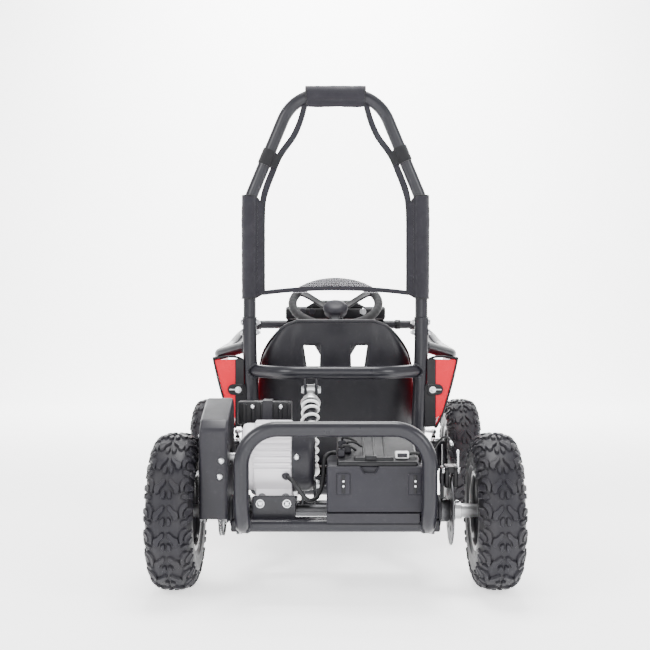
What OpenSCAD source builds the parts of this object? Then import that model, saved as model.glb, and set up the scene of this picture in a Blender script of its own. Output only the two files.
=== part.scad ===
// Small electric off-road kart: tube frame with a rigid front axle, a rear cradle
// on a mono-shock, a chain drive, one rear disc brake and four 330 mm knobbly tyres.
// +X is the kart's right, +Y is forward, +Z is up. The ground is Z = 0.

/* [Overall] */
// Length from the rear tyres to the front bumper
overall_len = 1370; // [1340:5:1400]
// Distance between the two axles
wheelbase = 900; // [880:5:920]
// Distance between the middles of the rear tyres
rear_track = 674; // [666:1:690]
// Distance between the middles of the front tyres
front_track = 740; // [730:1:750]

/* [Wheels] */
// Outer diameter of a tyre
tyre_d = 330; // [326:1:334]
// Width of a tyre
tyre_w = 102; // [100:1:110]
// Diameter of the rim where the bead sits
bead_d = 152; // [148:1:156]
// Diameter of the live rear axle
axle_d = 25; // [20:1:30]
// Diameter of a front stub axle
stub_d = 17; // [15:1:20]

/* [Frame] */
// Tube of the lower rails and the front bumper
rail_d = 28; // [25:1:30]
// Tube of the roll hoop
hoop_d = 31; // [30:1:33]
// Tube of the lower posts that the roll hoop slides into
post_d = 35; // [35:1:38]
// Tube of the side bars
bar_d = 30; // [27:1:32]
// Tube of the rear bumper and the cradle's rails
bumper_d = 31; // [28:1:32]
// Wall of every frame tube
tube_wall = 2.5; // [2:0.5:3]
// Height of the middle of the lower rails
rail_z = 150; // [148:1:152]
// Height of the middle of the hoop's top tube
hoop_top_z = 1133; // [1100:1:1150]
// Distance from the middle to a leg of the hoop
hoop_x = 215; // [213:1:218]
// Height of the joint between the posts and the hoop
joint_z = 575; // [560:1:590]

/* [Steering] */
// Outer diameter of the steering wheel
wheel_d = 272; // [260:1:280]
// Thickness of its rim
grip_d = 25; // [22:1:28]
// Diameter of the steering column
column_d = 20; // [18:1:22]
// Lean of the column from upright, in degrees
column_lean = 31; // [30:0.5:32]

/* [Drive] */
// Diameter of the motor
motor_d = 155; // [145:1:158]
// Height of the motor's axis
motor_z = 281; // [280:1:285]
// Outer radius of the axle's sprocket
sprocket_r = 46; // [40:1:48]
// Outer radius of the motor's sprocket
pinion_r = 15; // [12:1:16]
// Diameter of the brake disc
disc_d = 145; // [130:1:150]

/* [Seat] */
// Width of the bucket seat
seat_w = 386; // [370:1:390]
// Thickness of its shell
seat_wall = 6; // [5:1:8]

/* [Hidden] */
$fn = 48;

fit = 0.05;                               // radial room of a running fit
rear_y = -overall_len / 2 + tyre_d / 2;   // the rear axle
front_y = rear_y + wheelbase;             // the front axle
hub_z = tyre_d / 2;                       // height of both axles
post_y = -120;                            // plane of the posts and the hoop
cross_z = 440;                            // rear cross tube
cross_bow = 80;                           // how far its middle stands to the rear
dash_y = 460;                             // dash tube
dash_z = 550;
rail_x = 195;                             // half the width of the frame at the seat
nose_x = 130;                             // half its width between the front tyres
pivot_y = -185;                           // cradle pivot
pivot_x = 125;
cradle_x = 187.5;                         // half the width of the cradle's rails
bumper_y = -overall_len / 2 + bumper_d / 2;
bumper_top_z = 354;
bumper_join_y = -600;                     // where bumper and cradle rails meet
shock_x = -60;
shock_top = [shock_x, -190, 398];
shock_foot = [shock_x, -390, 200];
motor_y = rear_y - 10;
chain_x = -240;
kingpin_x = 298;
arm_len = 75;                             // steering arm of a knuckle
wheel_c = [0, 276, 614];                  // middle of the steering wheel
column_dir = [0, sin(column_lean), -cos(column_lean)];
pitman_z = 215;
pitman_len = 45;
column_end_z = 178;

function on_column(z) = wheel_c + column_dir * (wheel_c.z - z) / cos(column_lean);
function unit(v) = v / norm(v);
function flip(p) = [-p.x, p.y, p.z];
function flipped(points) = [for (p = points) flip(p)];
function mirrored(half) = concat(half, [for (i = [len(half) - 1:-1:0]) flip(half[i])]);

pitman_c = on_column(pitman_z);
pitman_eye = pitman_c + pitman_len * [0, cos(column_lean), sin(column_lean)];
tie_end_r = 9;
tie_low = pitman_eye - column_dir * (3 + 1.5 + tie_end_r);
tie_high = tie_low - column_dir * (2 * tie_end_r + 2.5);
arm_eye = [kingpin_x, front_y + arm_len, 224];

// ---------------------------------------------------------------- helpers

// A solid rod from a to b.
module rod(a, b, d) {
  v = b - a;
  h = norm(v);
  translate(a)
    rotate([0, acos(v.z / h), atan2(v.y, v.x)])
      cylinder(h = h, d = d);
}

// A round tube's outside along corner points, each corner bent to radius r. A bend
// is a hair thinner than the straights, and each straight laps over its start.
bend_step = 0.3;
bend_lap = 2;
module bent_tube(points, d, r) {
  n = len(points);
  u = [for (i = [0:n - 2]) unit(points[i + 1] - points[i])];
  turn = [for (i = [0:n - 1]) i == 0 || i == n - 1 ? 0 : acos(u[i - 1] * u[i])];
  cut = [for (a = turn) r * tan(a / 2)];
  lap = [for (a = turn) a == 0 ? 0 : bend_lap];
  for (i = [0:n - 2])
    rod(
      points[i] + u[i] * (cut[i] - lap[i]),
      points[i + 1] - u[i] * (cut[i + 1] - lap[i + 1]),
      d
    );
  for (i = [1:n - 2])
    bend(points[i] - u[i - 1] * cut[i], u[i - 1], u[i], turn[i], d - bend_step, r);
}

// One bend that starts at s along u and ends along v.
module bend(s, u, v, angle, d, r) {
  inward = unit(v - u * (u * v));
  c = s + inward * r;
  z = cross(-inward, u);
  multmatrix([
    [-inward.x, u.x, z.x, c.x],
    [-inward.y, u.y, z.y, c.y],
    [-inward.z, u.z, z.z, c.z],
    [0, 0, 0, 1]
  ])
    rotate_extrude(angle = angle)
      translate([r, 0])
        circle(d = d);
}

// A box given by its lowest and highest corners.
module span(a, b) {
  translate(a)
    cube(b - a);
}

// A straight pin or hole along X.
module along_x(x0, x1, y, z, d) {
  translate([x0, y, z])
    rotate([0, 90, 0])
      cylinder(h = x1 - x0, d = d);
}

// A (y, z) outline carried from x0 to x1.
module side_profile(points, x0, x1) {
  translate([x0, 0, 0])
    rotate([90, 0, 90])
      linear_extrude(x1 - x0)
        polygon(points);
}

// An (x, z) outline carried from y0 to y1.
module front_profile(points, y0, y1) {
  translate([0, y1, 0])
    rotate([90, 0, 0])
      linear_extrude(y1 - y0)
        polygon(points);
}

// The child drawn in axes where +Z runs along v from point p.
module aim(p, v) {
  translate(p)
    rotate([0, acos(v.z / norm(v)), atan2(v.y, v.x)])
      children();
}

// The child and its mirror image across the middle plane.
module both_sides() {
  children();
  mirror([1, 0, 0])
    children();
}

// A hexagon-headed bolt along X with a nut on its far end.
module cross_bolt(x0, x1, y, z, d) {
  along_x(x0, x1, y, z, d);
  head = 0.6 * d;
  for (x = [x0 - head, x1])
    translate([x, y, z])
      rotate([0, 90, 0])
        cylinder(h = head, d = 1.8 * d, $fn = 6);
}

// A thin flexible line: rings of 8 sides at each point of the route.
module cable(route, d, up = [0, 0, 1]) {
  n = len(route);
  sides = 8;
  dirs = [for (i = [0:n - 1]) unit(route[min(i + 1, n - 1)] - route[max(i - 1, 0)])];
  rings = [
    for (i = [0:n - 1])
      let (
        s = unit(cross(dirs[i], up)),
        t = cross(s, dirs[i])
      )
        for (k = [0:sides - 1])
          route[i] + d / 2 * (s * cos(360 * k / sides) + t * sin(360 * k / sides))
  ];
  faces = concat(
    [[for (k = [0:sides - 1]) k]],
    [
      for (i = [0:n - 2])
        for (k = [0:sides - 1])
          [
            i * sides + k,
            (i + 1) * sides + k,
            (i + 1) * sides + (k + 1) % sides,
            i * sides + (k + 1) % sides
          ]
    ],
    [[for (k = [sides - 1:-1:0]) (n - 1) * sides + k]]
  );
  polyhedron(rings, faces);
}

// ---------------------------------------------------------------- main frame

rail_half = [
  [rail_x, post_y - 45, rail_z],
  [rail_x, 180, rail_z],
  [nose_x, 330, rail_z],
  [nose_x, 600, rail_z]
];

bore = 2 * tube_wall;                     // how much smaller a tube's inside is

module rails() {
  both_sides()
    bent_tube(rail_half, rail_d, 90);
}

kingpin_bore = 12;
kingpin_low = 133;
kingpin_high = 197;
lug_t = 6;
cross_d = 25;                             // cross members of the lower frame
seat_bar_y = [0, 150];                    // flat bars under the seat
pedal_y = 575;
pedal_z = 182;
pedal_pin = 10;

module lower_frame() {
  color("#46484b")
    difference() {
      union() {
        rails();
        rod([-rail_x, post_y - 32, rail_z], [rail_x, post_y - 32, rail_z], cross_d);
        rod([-nose_x, 545, rail_z], [nose_x, 545, rail_z], cross_d);
        for (y = seat_bar_y)
          span([-rail_x, y - 15, 134], [rail_x, y + 15, 160]);
        rod([-kingpin_x, front_y, hub_z], [kingpin_x, front_y, hub_z], 32);
        both_sides() {
          translate([kingpin_x, front_y, kingpin_low])
            cylinder(h = kingpin_high - kingpin_low, d = 36);
          for (x = [pivot_x - 17 - lug_t, pivot_x + 17])
            span([x, pivot_y - 15, rail_z - 15], [x + lug_t, post_y - 32, rail_z + 12]);
          for (y = seat_bar_y)
            span([90, y - 15, 160], [120, y + 15, 184]);
          for (x = [30, 104])
            span([x, 545, rail_z], [x + 6, pedal_y + 14, pedal_z + 14]);
          along_x(30, 110, pedal_y, pedal_z, pedal_pin - 2 * fit);
        }
        span([-26, 505, rail_z], [26, 560, 194]);
      }
      both_sides() {
        translate([kingpin_x, front_y, kingpin_low - 1])
          cylinder(h = kingpin_high - kingpin_low + 2, d = kingpin_bore + 2 * fit);
        along_x(pivot_x - 40, pivot_x + 40, pivot_y, rail_z, 12 + 2 * fit);
      }
      aim(on_column(220), column_dir)
        cylinder(h = 80, d = 36);
    }
}

post_half = [
  [201.5, post_y, rail_z],
  [hoop_x, post_y, 500],
  [hoop_x, post_y, joint_z]
];
hoop_foot_z = joint_z - 70;
hoop_bolt_z = [joint_z - 38, joint_z - 13];

module hoop_bolt_holes(d) {
  both_sides()
    for (z = hoop_bolt_z)
      along_x(hoop_x - 30, hoop_x + 30, post_y, z, d);
}

module posts() {
  color("#46484b")
    difference() {
      both_sides()
        bent_tube(post_half, post_d, 200);
      both_sides()
        bent_tube(post_half, post_d - bore, 200);
      rails();
      both_sides()
        translate([hoop_x, post_y, hoop_foot_z])
          cylinder(h = 200, d = hoop_d + 2 * fit);
      hoop_bolt_holes(8);
    }
}

slope_x = 110.5;                          // how far the sloped sides come inward
hoop_knee_z = 868;
hoop_half = [
  [hoop_x, post_y, hoop_foot_z],
  [hoop_x, post_y, hoop_knee_z],
  [hoop_x - slope_x, post_y, hoop_top_z]
];

module hoop_path(d) {
  bent_tube(mirrored(hoop_half), d, 106);
}

module roll_hoop() {
  color("#4a4c50")
    difference() {
      hoop_path(hoop_d);
      hoop_path(hoop_d - bore);
      hoop_bolt_holes(8);
    }
}

// The bolts that hold the hoop in the posts and the side fairings on their strips.
module frame_bolts() {
  color("silver")
    both_sides() {
      for (z = hoop_bolt_z)
        cross_bolt(hoop_x - post_d / 2, hoop_x + post_d / 2, post_y, z, 8);
      translate([242, -137, 394])
        rotate([-90, 0, 0]) {
          cylinder(h = 3, d = 16);
          cylinder(h = 14, d = 6);
        }
    }
}

clevis_gap = 22;                          // between the plates of a shock bracket
clevis_t = 5.5;
shock_pin = 10;

module clevis(eye, z0, z1, slack) {
  difference() {
    for (x = [eye.x - clevis_gap / 2 - clevis_t, eye.x + clevis_gap / 2])
      span([x, eye.y - 18, z0], [x + clevis_t, eye.y + 18, z1]);
    along_x(eye.x - 40, eye.x + 40, eye.y, eye.z, shock_pin + 2 * (fit + slack));
  }
}

cross_half = [[hoop_x - 6, post_y, cross_z], [125, post_y - cross_bow, cross_z]];

module rear_cross_tube() {
  color("#4a4c50")
    difference() {
      union() {
        bent_tube(mirrored(cross_half), 32, 100);
        clevis(shock_top, shock_top.z - 20, cross_z, 0);
      }
      bent_tube(mirrored(cross_half), 32 - bore, 100);
      both_sides()
        bent_tube(post_half, post_d, 200);
    }
}

bar_half = [
  [hoop_x - 2, post_y, 504],
  [302, -5, 478],
  [302, 330, 488],
  [284, 440, 518],
  [238, dash_y, dash_z]
];

module side_bars() {
  color("#4a4c50")
    difference() {
      both_sides()
        bent_tube(bar_half, bar_d, 30);
      both_sides()
        bent_tube(bar_half, bar_d - bore, 30);
      both_sides()
        bent_tube(post_half, post_d, 200);
      rod([-250, dash_y, dash_z], [250, dash_y, dash_z], 25);
    }
}

bush_high = on_column(430);
bush_low = on_column(190);

module front_tower() {
  color("#46484b")
    difference() {
      union() {
        rod([-250, dash_y, dash_z], [250, dash_y, dash_z], 25);
        both_sides()
          rod([nose_x, 585, rail_z], [150, dash_y, dash_z], 25);
        both_sides()
        rod([92, dash_y, dash_z], [18, bush_high.y, bush_high.z], 20);
      }
      rod([-251, dash_y, dash_z], [251, dash_y, dash_z], 25 - bore);
      rails();
      aim(bush_high - column_dir * 20, column_dir)
        cylinder(h = 40, d = 36);
    }
}

module column_bushes() {
  color("#2b2c2e")
    difference() {
      for (c = [bush_high, bush_low])
        aim(c - column_dir * 14, column_dir)
          cylinder(h = 28, d = 36);
      aim(bush_high - column_dir * 50, column_dir)
        cylinder(h = 500, d = column_d + 2 * fit);
    }
}

module front_bumper() {
  y = overall_len / 2 - rail_d / 2;
  path = mirrored([[nose_x, 600, rail_z], [nose_x, y, rail_z], [150, y, 340]]);
  color("#4a4c50")
    difference() {
      bent_tube(path, rail_d, 45);
      bent_tube(path, rail_d - bore, 45);
    }
}

pan_low = 131.5;
module floor_pan() {
  outline = [
    [rail_x + 5, post_y - 10], [rail_x + 5, 170], [nose_x + 5, 322], [nose_x + 5, 590]
  ];
  color("#2a2b2d")
    translate([0, 0, pan_low])
      linear_extrude(134 - pan_low)
        polygon(concat(outline, [for (i = [3:-1:0]) [-outline[i].x, outline[i].y]]));
}

module cradle_pivot_bolts() {
  color("silver")
    both_sides()
      cross_bolt(pivot_x - 23, pivot_x + 23, pivot_y, rail_z, 12);
}

// ---------------------------------------------------------------- body panels

module nose_fairing() {
  skin = 4;
  outer = [[510, 392], [575, 396], [628, 356], [654, 290], [654, 215], [575, 200], [500, 372]];
  inner = [[480, 388], [573.5, 392], [625, 353.5], [650, 289], [650, 190], [560, 190], [470, 380]];
  color("#d92b38")
    difference() {
      union() {
        difference() {
          side_profile(outer, -170, 170);
          side_profile(inner, -170 + skin, 170 - skin);
        }
        both_sides() {
          span([130, 530, 294], [168, 552, 306]);
          span([136, 506, 374], [168, 528, 386]);
        }
      }
      both_sides()
        rod([nose_x, 585, rail_z], [150, dash_y, dash_z], 25);
    }
}

module dash_housing() {
  outer = [[398, 568], [394, 610], [410, 624], [470, 612], [484, 580], [474, 562.5], [446, 562.5]];
  inner = [[402, 571], [398, 608], [411, 620], [468, 608], [479, 581], [472, 560], [448, 560]];
  color("#1d1e20")
    difference() {
      side_profile(outer, -149, 149);
      side_profile(inner, -145, 145);
      rod([-250, dash_y, dash_z], [250, dash_y, dash_z], 25);
    }
}

// One side panel under a side bar, with a return flange at its rear.
module side_fairing() {
  skin = 4;
  difference() {
    union() {
      front_profile([[265, 332], [300, 459], [296, 459], [261, 332]], -130, 190);
      front_profile([[236, 300], [250, 300], [265, 332], [300, 459], [236, 459]], -134, -130);
      front_profile([[261, 332], [265, 332], [250, 300], [246, 300]], -130, 150);
      front_profile([[240, 455], [300, 455], [300, 459], [240, 459]], -130, -60);
      span([222, -132, 386], [240, -128, 402]);
    }
    both_sides()
      bent_tube(bar_half, bar_d, 30);
    both_sides()
      bent_tube(post_half, post_d, 200);
    translate([242, -140, 394])
      rotate([-90, 0, 0])
        cylinder(h = 20, d = 6);
  }
}

module side_fairing_right() {
  color("#d92b38")
    side_fairing();
}

module side_fairing_left() {
  color("#d92b38")
    mirror([1, 0, 0])
      side_fairing();
}

module seat_shell() {
  w = seat_w / 2;
  back = [[-34, 184], [-92, 440], [-124, 560], [-118, 566]];
  side = [
    [-34, 184], [-92, 440], [-124, 560], [-118, 566], [-100, 560],
    [-20, 440], [40, 330], [120, 290], [225, 262], [240, 236], [215, 184]
  ];
  hollow = [
    [-28, 190], [-86, 440], [-120, 570], [-90, 600],
    [400, 600], [400, 236], [234, 234], [212, 190]
  ];
  color("#1b1c1e")
    difference() {
      intersection() {
        side_profile(side, -w, w);
        front_profile([
          [-w + 60, 184], [w - 60, 184], [w - 12, 230], [w, 330], [w, 455], [w - 30, 520],
          [100, 566], [-100, 566], [-w + 30, 520], [-w, 455], [-w, 330], [-w + 12, 230]
        ], -200, 300);
      }
      intersection() {
        side_profile(hollow, -w + 7, w - 7);
        front_profile([
          [-w + 64, 190], [w - 64, 190], [w - 19, 233], [w - 7, 331], [w - 7, 453],
          [w - 36, 516], [94, 572], [-94, 572], [-w + 36, 516], [-w + 7, 453],
          [-w + 7, 331], [-w + 19, 233]
        ], -200, 500);
      }
      both_sides()
        front_profile([[40, 447], [72, 447], [80, 503], [38, 503]], -150, -60);
    }
}

module mesh_screen() {
  color("#e8e8e4")
    front_profile([
      [-178, 635], [178, 635], [178, 850], [75, 1104], [-75, 1104], [-178, 850]
    ], post_y - 3, post_y - 1);
}

flap_low = 622;
flap_high = 845;
module mesh_edging() {
  color("#25282e")
    difference() {
      both_sides() {
        translate([hoop_x, post_y, flap_low])
          cylinder(h = flap_high - flap_low, d = hoop_d + 7);
        span([178, post_y - 4, flap_low], [hoop_x - 12, post_y, flap_high]);
      }
      hoop_path(hoop_d);
    }
}

module top_pad() {
  color("#25282e")
    difference() {
      union() {
        rod([-75, post_y, hoop_top_z], [75, post_y, hoop_top_z], hoop_d + 14);
        span([-75, post_y - 6, 1104], [75, post_y + 2, hoop_top_z]);
      }
      hoop_path(hoop_d);
    }
}

// ---------------------------------------------------------------- steering

module pitman_plate() {
  t = 6;
  aim(pitman_c - column_dir * t / 2, column_dir)
    linear_extrude(t)
      union() {
        circle(d = 40);
        translate([-pitman_len - 12, -14])
          square([pitman_len + 12, 28]);
      }
}

module steering_column() {
  color("#38393c")
    union() {
      rod(wheel_c + column_dir * 12, on_column(column_end_z), column_d);
      pitman_plate();
      aim(wheel_c + column_dir * 12, column_dir)
        cylinder(h = 6, d = 56);
    }
}

module steering_hub() {
  ring_r = (wheel_d - grip_d) / 2;
  color("#1c1d1f")
    difference() {
      aim(wheel_c, column_dir)
        difference() {
          union() {
            translate([0, 0, -14])
              cylinder(h = 26, d = 72);
            for (a = [55, -55, 180])
              rotate([0, 0, a + 180])
                translate([20, -14, -4])
                  cube([ring_r - 20, 28, 8]);
          }
          rotate_extrude()
            translate([ring_r, 0])
              circle(d = grip_d);
        }
    }
}

module steering_grip() {
  color("#141517")
    aim(wheel_c, column_dir)
      rotate_extrude()
        translate([(wheel_d - grip_d) / 2, 0])
          circle(d = grip_d);
}

yoke_t = 8;
yoke_top = kingpin_high + 0.5 + yoke_t;
module knuckle() {
  difference() {
    union() {
      for (z = [kingpin_low - 0.5 - yoke_t, kingpin_high + 0.5])
        span([kingpin_x - 16, front_y - 16, z], [kingpin_x + 27, front_y + 16, z + yoke_t]);
      translate([kingpin_x + 19, front_y - 16, kingpin_low - 1])
        cube([8, 32, kingpin_high - kingpin_low + 2]);
      span([kingpin_x - 9, front_y, kingpin_high + 0.5], [kingpin_x + 9, arm_eye.y + 9, yoke_top]);
      along_x(kingpin_x + 27, front_track / 2 + 50, front_y, hub_z, stub_d);
      along_x(front_track / 2 + 45.5, front_track / 2 + 55, front_y, hub_z, 30);
      along_x(kingpin_x + 27, front_track / 2 - 30.5, front_y, hub_z, 30);
    }
    translate([kingpin_x, front_y, 100])
      cylinder(h = 140, d = kingpin_bore + 2 * fit);
  }
}

module knuckle_right() {
  color("#3a3b3e")
    knuckle();
}

module knuckle_left() {
  color("#3a3b3e")
    mirror([1, 0, 0])
      knuckle();
}

module kingpin() {
  low = kingpin_low - 0.5 - yoke_t;
  high = kingpin_high + 0.5 + yoke_t;
  translate([kingpin_x, front_y, low]) {
    cylinder(h = high - low, d = kingpin_bore);
    translate([0, 0, high - low])
      cylinder(h = 8, d = 21, $fn = 6);
    translate([0, 0, -8])
      cylinder(h = 8, d = 21, $fn = 6);
  }
}

module kingpin_right() {
  color("silver")
    kingpin();
}

module kingpin_left() {
  color("silver")
    mirror([1, 0, 0])
      kingpin();
}

// A tie rod from a knuckle's arm to the pitman end, with a ball end at each.
module tie_rod(outer, inner) {
  rod(outer, inner, 11);
  for (p = [outer, inner])
    translate(p)
      sphere(r = tie_end_r);
  translate([outer.x, outer.y, yoke_top + 0.3])
    cylinder(h = outer.z - yoke_top - 0.3, d = 10);
}

module tie_rod_right() {
  color("#c9ccd0")
    tie_rod(arm_eye, tie_low);
}

module tie_rod_left() {
  color("#c9ccd0")
    tie_rod(flip(arm_eye), tie_high);
}

// ---------------------------------------------------------------- wheels

rim_half = 40;                            // half the width between the flanges
flange_r = 84;

// A tyre around X = 0, open at its bead like the real one.
module tyre() {
  r = tyre_d / 2;
  w = tyre_w / 2;
  bead_r = bead_d / 2;
  rotate([0, 90, 0])
    rotate_extrude()
      polygon([
        [bead_r, -rim_half], [flange_r, -rim_half], [flange_r + 4, -rim_half - 2],
        [110, -w + 2], [130, -w],
        [150, -w + 5], [r - 4, -w + 20], [r, -w + 36], [r, w - 36], [r - 4, w - 20],
        [150, w - 5], [130, w], [110, w - 2], [flange_r + 4, rim_half + 2],
        [flange_r, rim_half], [bead_r, rim_half], [bead_r, rim_half - 14], [flange_r + 2, rim_half - 10],
        [108, w - 10], [140, w - 12], [152, 0], [140, -w + 12], [108, -w + 10],
        [flange_r + 2, -rim_half + 10], [bead_r, -rim_half + 14]
      ]);
}

// A pressed steel rim around X = 0; its disc stands at disc_at.
module rim(disc_at, bore) {
  r = bead_d / 2;
  difference() {
    rotate([0, 90, 0])
      rotate_extrude()
        polygon([
          [r, -rim_half], [r, rim_half], [flange_r, rim_half], [flange_r, rim_half + 2],
          [r - 4, rim_half + 2], [r - 4, disc_at + 4], [bore / 2, disc_at + 4],
          [bore / 2, disc_at], [r - 4, disc_at], [r - 4, -rim_half - 2],
          [flange_r, -rim_half - 2], [flange_r, -rim_half]
        ]);
    for (a = [45:90:315])
      rotate([a, 0, 0])
        along_x(-100, 100, 0, 45, 26);
  }
}

// The turning hub of a front wheel, on its stub axle.
module front_hub() {
  difference() {
    along_x(-30, 45, 0, 0, 44);
    along_x(-100, 100, 0, 0, stub_d + 2 * fit);
  }
}

module front_wheel_place(side) {
  translate([side * front_track / 2, front_y, hub_z])
    rotate([0, 0, side > 0 ? 0 : 180])
      children();
}

module front_rim() {
  union() {
    rim(8, 43);
    front_hub();
  }
}

module rear_wheel_place(side) {
  translate([side * rear_track / 2, rear_y, hub_z])
    rotate([0, 0, side > 0 ? 0 : 180])
      children();
}

hub_face = 5;                             // the rear hub's flange, from the wheel's middle
module rear_hub() {
  x = rear_track / 2;
  along_x(252, 267, rear_y, hub_z, 40);
  along_x(267, x + hub_face, rear_y, hub_z, 32);
  along_x(x, x + hub_face, rear_y, hub_z, 96);
  along_x(x + hub_face, x + 45, rear_y, hub_z, axle_d + 6);
}

// ---------------------------------------------------------------- rear cradle

cradle_half = [
  [cradle_x, bumper_join_y, rail_z],
  [cradle_x, -350, rail_z],
  [pivot_x, -250, rail_z],
  [pivot_x, pivot_y, rail_z]
];

module cradle_rails(d) {
  both_sides()
    bent_tube(cradle_half, d, 60);
}

carrier_in = 182;
carrier_out = 222;
carrier_half = 33;                        // half the length of a bearing carrier

short_rail = [                            // the inside of a rail stops at the pivot's sleeve
  [cradle_x, bumper_join_y - 1, rail_z],
  [cradle_x, -350, rail_z],
  [pivot_x, -250, rail_z],
  [pivot_x, pivot_y - 19, rail_z]
];
bracket_y = -598;                         // rear face of the motor's bracket
tray_low = 179;
strap_x = -150;

module cradle() {
  color("#46484b")
    difference() {
      union() {
        cradle_rails(bumper_d);
        both_sides()
          along_x(pivot_x - 16.5, pivot_x + 16.5, pivot_y, rail_z, 34);
        for (y = [-585, shock_foot.y])
          rod([-cradle_x, y, rail_z], [cradle_x, y, rail_z], 27);
        clevis(shock_foot, rail_z, shock_foot.z + 14, 0.4);
        span([-171, bracket_y, rail_z], [-82, bracket_y + 6, 209]);
        span([-171, bracket_y, 182], [-82, motor_y + 60, 188]);
        span([-18, -640, tray_low], [180, -405, 181]);
        span([-18, -643, 161], [170, -640, 181]);
        for (x = [-10, 168])
          span([x, -592, rail_z], [x + 4, -578, tray_low]);
        for (x = [-10, 168])
          span([x, -405, rail_z], [x + 4, -392, 181]);
        span([strap_x - 11, shock_foot.y - 2, rail_z], [strap_x + 11, shock_foot.y + 2, 391]);
      }
      both_sides()
        along_x(pivot_x - 40, pivot_x + 40, pivot_y, rail_z, 12 + 2 * fit);
      both_sides() {
        span([165, rear_y - carrier_half, 100], [230, rear_y + carrier_half, 210]);
        bent_tube(short_rail, bumper_d - bore, 60);
      }
    }
}

bumper_half = [
  [cradle_x, bumper_join_y, rail_z],
  [cradle_x, bumper_y, rail_z],
  [cradle_x, bumper_y, bumper_top_z]
];

module bumper_path(d) {
  bent_tube(mirrored(bumper_half), d, 66);
}

module rear_bumper() {
  color("#4a4c50")
    difference() {
      union() {
        bumper_path(bumper_d);
        rod([-cradle_x, -625, 153.5], [cradle_x, -625, 153.5], 26);
      }
      bumper_path(bumper_d - bore);
    }
}

module bearing_carriers() {
  color("#1f2022")
    difference() {
      both_sides() {
        along_x(carrier_in, carrier_out, rear_y, hub_z, 2 * carrier_half);
        span([carrier_in, rear_y - carrier_half, 125], [carrier_out, rear_y + carrier_half, hub_z]);
      }
      along_x(-300, 300, rear_y, hub_z, axle_d + 2 * fit);
    }
}

module motor_body() {
  color("#c4c6c8")
    difference() {
      union() {
        along_x(-170, -90, motor_y, motor_z, motor_d);
        along_x(-196, -170, motor_y, motor_z, motor_d - 14);
        span([-165, motor_y - 55, 188], [-90, motor_y + 55, 225]);
      }
      along_x(-300, 0, motor_y, motor_z, 17 + 2 * fit);
    }
}

module motor_end_bell() {
  color("#1e1f21")
    along_x(-90, -44, motor_y, motor_z, motor_d - 8);
}

lead_d = 9;
lead_route = [
  [-100, -604, 250], [-96, -614, 249], [-88, -624, 244], [-78, -629, 232], [-68, -629, 218],
  [-58, -623, 206], [-48, -612, 202], [-38, -600, 208], [-30, -588, 222], [-26, -577, 242],
  [-25, -566, 262], [-24, -556, 277], [-17, -547, 287], [-8, -541, 290], [1, -540, 290]
];
module motor_leads() {
  color("#222326")
    cable(lead_route, lead_d, [1, 0, 0]);
}

module controller() {
  color("#17181a")
    difference() {
      span([-217, -440, 337], [-96, shock_foot.y - 2, 391]);
      for (i = [0:5])
        span([-210 + 20 * i, -441, 345], [-204 + 20 * i, -436, 383]);
    }
}

module battery_case() {
  color("#2c2d30")
    difference() {
      span([-18, -640, 181], [180, -410, 275]);
      front_profile([[50, 276], [88, 276], [80, 262], [58, 262]], -641, -628);
    }
}

module battery_lid() {
  color("#232427")
    side_profile([[-632, 275], [-632, 284], [-430, 330], [-415, 330], [-415, 275]], 2, 168);
}

guard_wall = 2;
guard_profile = [
  [-604, 160], [-604, 345], [-575, 366], [-470, 392], [-445, 370], [-445, 150], [-590, 150]
];
module chain_guard() {
  inner = [
    [-602, 164], [-602, 344], [-574, 364], [-470.5, 389.5], [-447, 369], [-447, 140],
    [-590, 140]
  ];
  color("#303235")
    difference() {
      side_profile(guard_profile, -280, -carrier_out);
      side_profile(inner, -278, -carrier_out - 2);
      along_x(-300, -200, rear_y, hub_z, 52);
      along_x(-250, -200, motor_y, motor_z, motor_d - 10);
    }
}

module chain_loop(r_big, r_small) {
  hull() {
    translate([rear_y, hub_z])
      circle(r = r_big, $fn = 64);
    translate([motor_y, motor_z])
      circle(r = r_small, $fn = 32);
  }
}

module drive_chain() {
  gap = 0.6;
  depth = 7;
  color("#55575a")
    translate([chain_x - 5, 0, 0])
      rotate([90, 0, 90])
        linear_extrude(10)
          difference() {
            chain_loop(sprocket_r + gap + depth, pinion_r + gap + depth);
            chain_loop(sprocket_r + gap, pinion_r + gap);
          }
}

module brake_caliper() {
  color("#8d9094")
    difference() {
      union() {
        span([230, rear_y - 25, 215], [258, rear_y + 25, 262]);
        span([carrier_out, rear_y - 15, 190.5], [230, rear_y + 15, 262]);
      }
      span([240, rear_y - 30, 200], [248, rear_y + 30, 245]);
    }
}

arm_pin = [258, rear_y, 252];
module caliper_arm() {
  color("silver")
    union() {
      along_x(arm_pin.x + 0.3, arm_pin.x + 6, arm_pin.y, arm_pin.z, 14);
      span([arm_pin.x + 0.3, arm_pin.y - 6, arm_pin.z], [arm_pin.x + 5, arm_pin.y + 6, arm_pin.z + 42]);
    }
}

cable_d = 5;
rear_cable = [
  [250, rear_y + 12, 300], [246, rear_y + 26, 312], [240, rear_y + 44, 316],
  [232, rear_y + 64, 310], [224, rear_y + 84, 296], [216, rear_y + 102, 276],
  [206, rear_y + 122, 250], [194, rear_y + 142, 222], [182, rear_y + 164, 198],
  [168, rear_y + 190, 180], [154, rear_y + 218, 172], [144, rear_y + 248, 170],
  [140, rear_y + 278, 170], [140, rear_y + 300, 170]
];
front_cable = [
  [140, pivot_y + 30, 172], [150, -110, 172], [160, -60, 172], [166, -10, 172], [168, 60, 172],
  [166, 120, 172], [156, 180, 172], [136, 240, 172], [112, 300, 172], [100, 340, 186],
  [96, 380, 190], [90, 420, 186], [60, 450, 172], [10, 470, 172], [-50, 490, 176],
  [-66, 520, 190], [-68, 545, 206]
];

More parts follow.
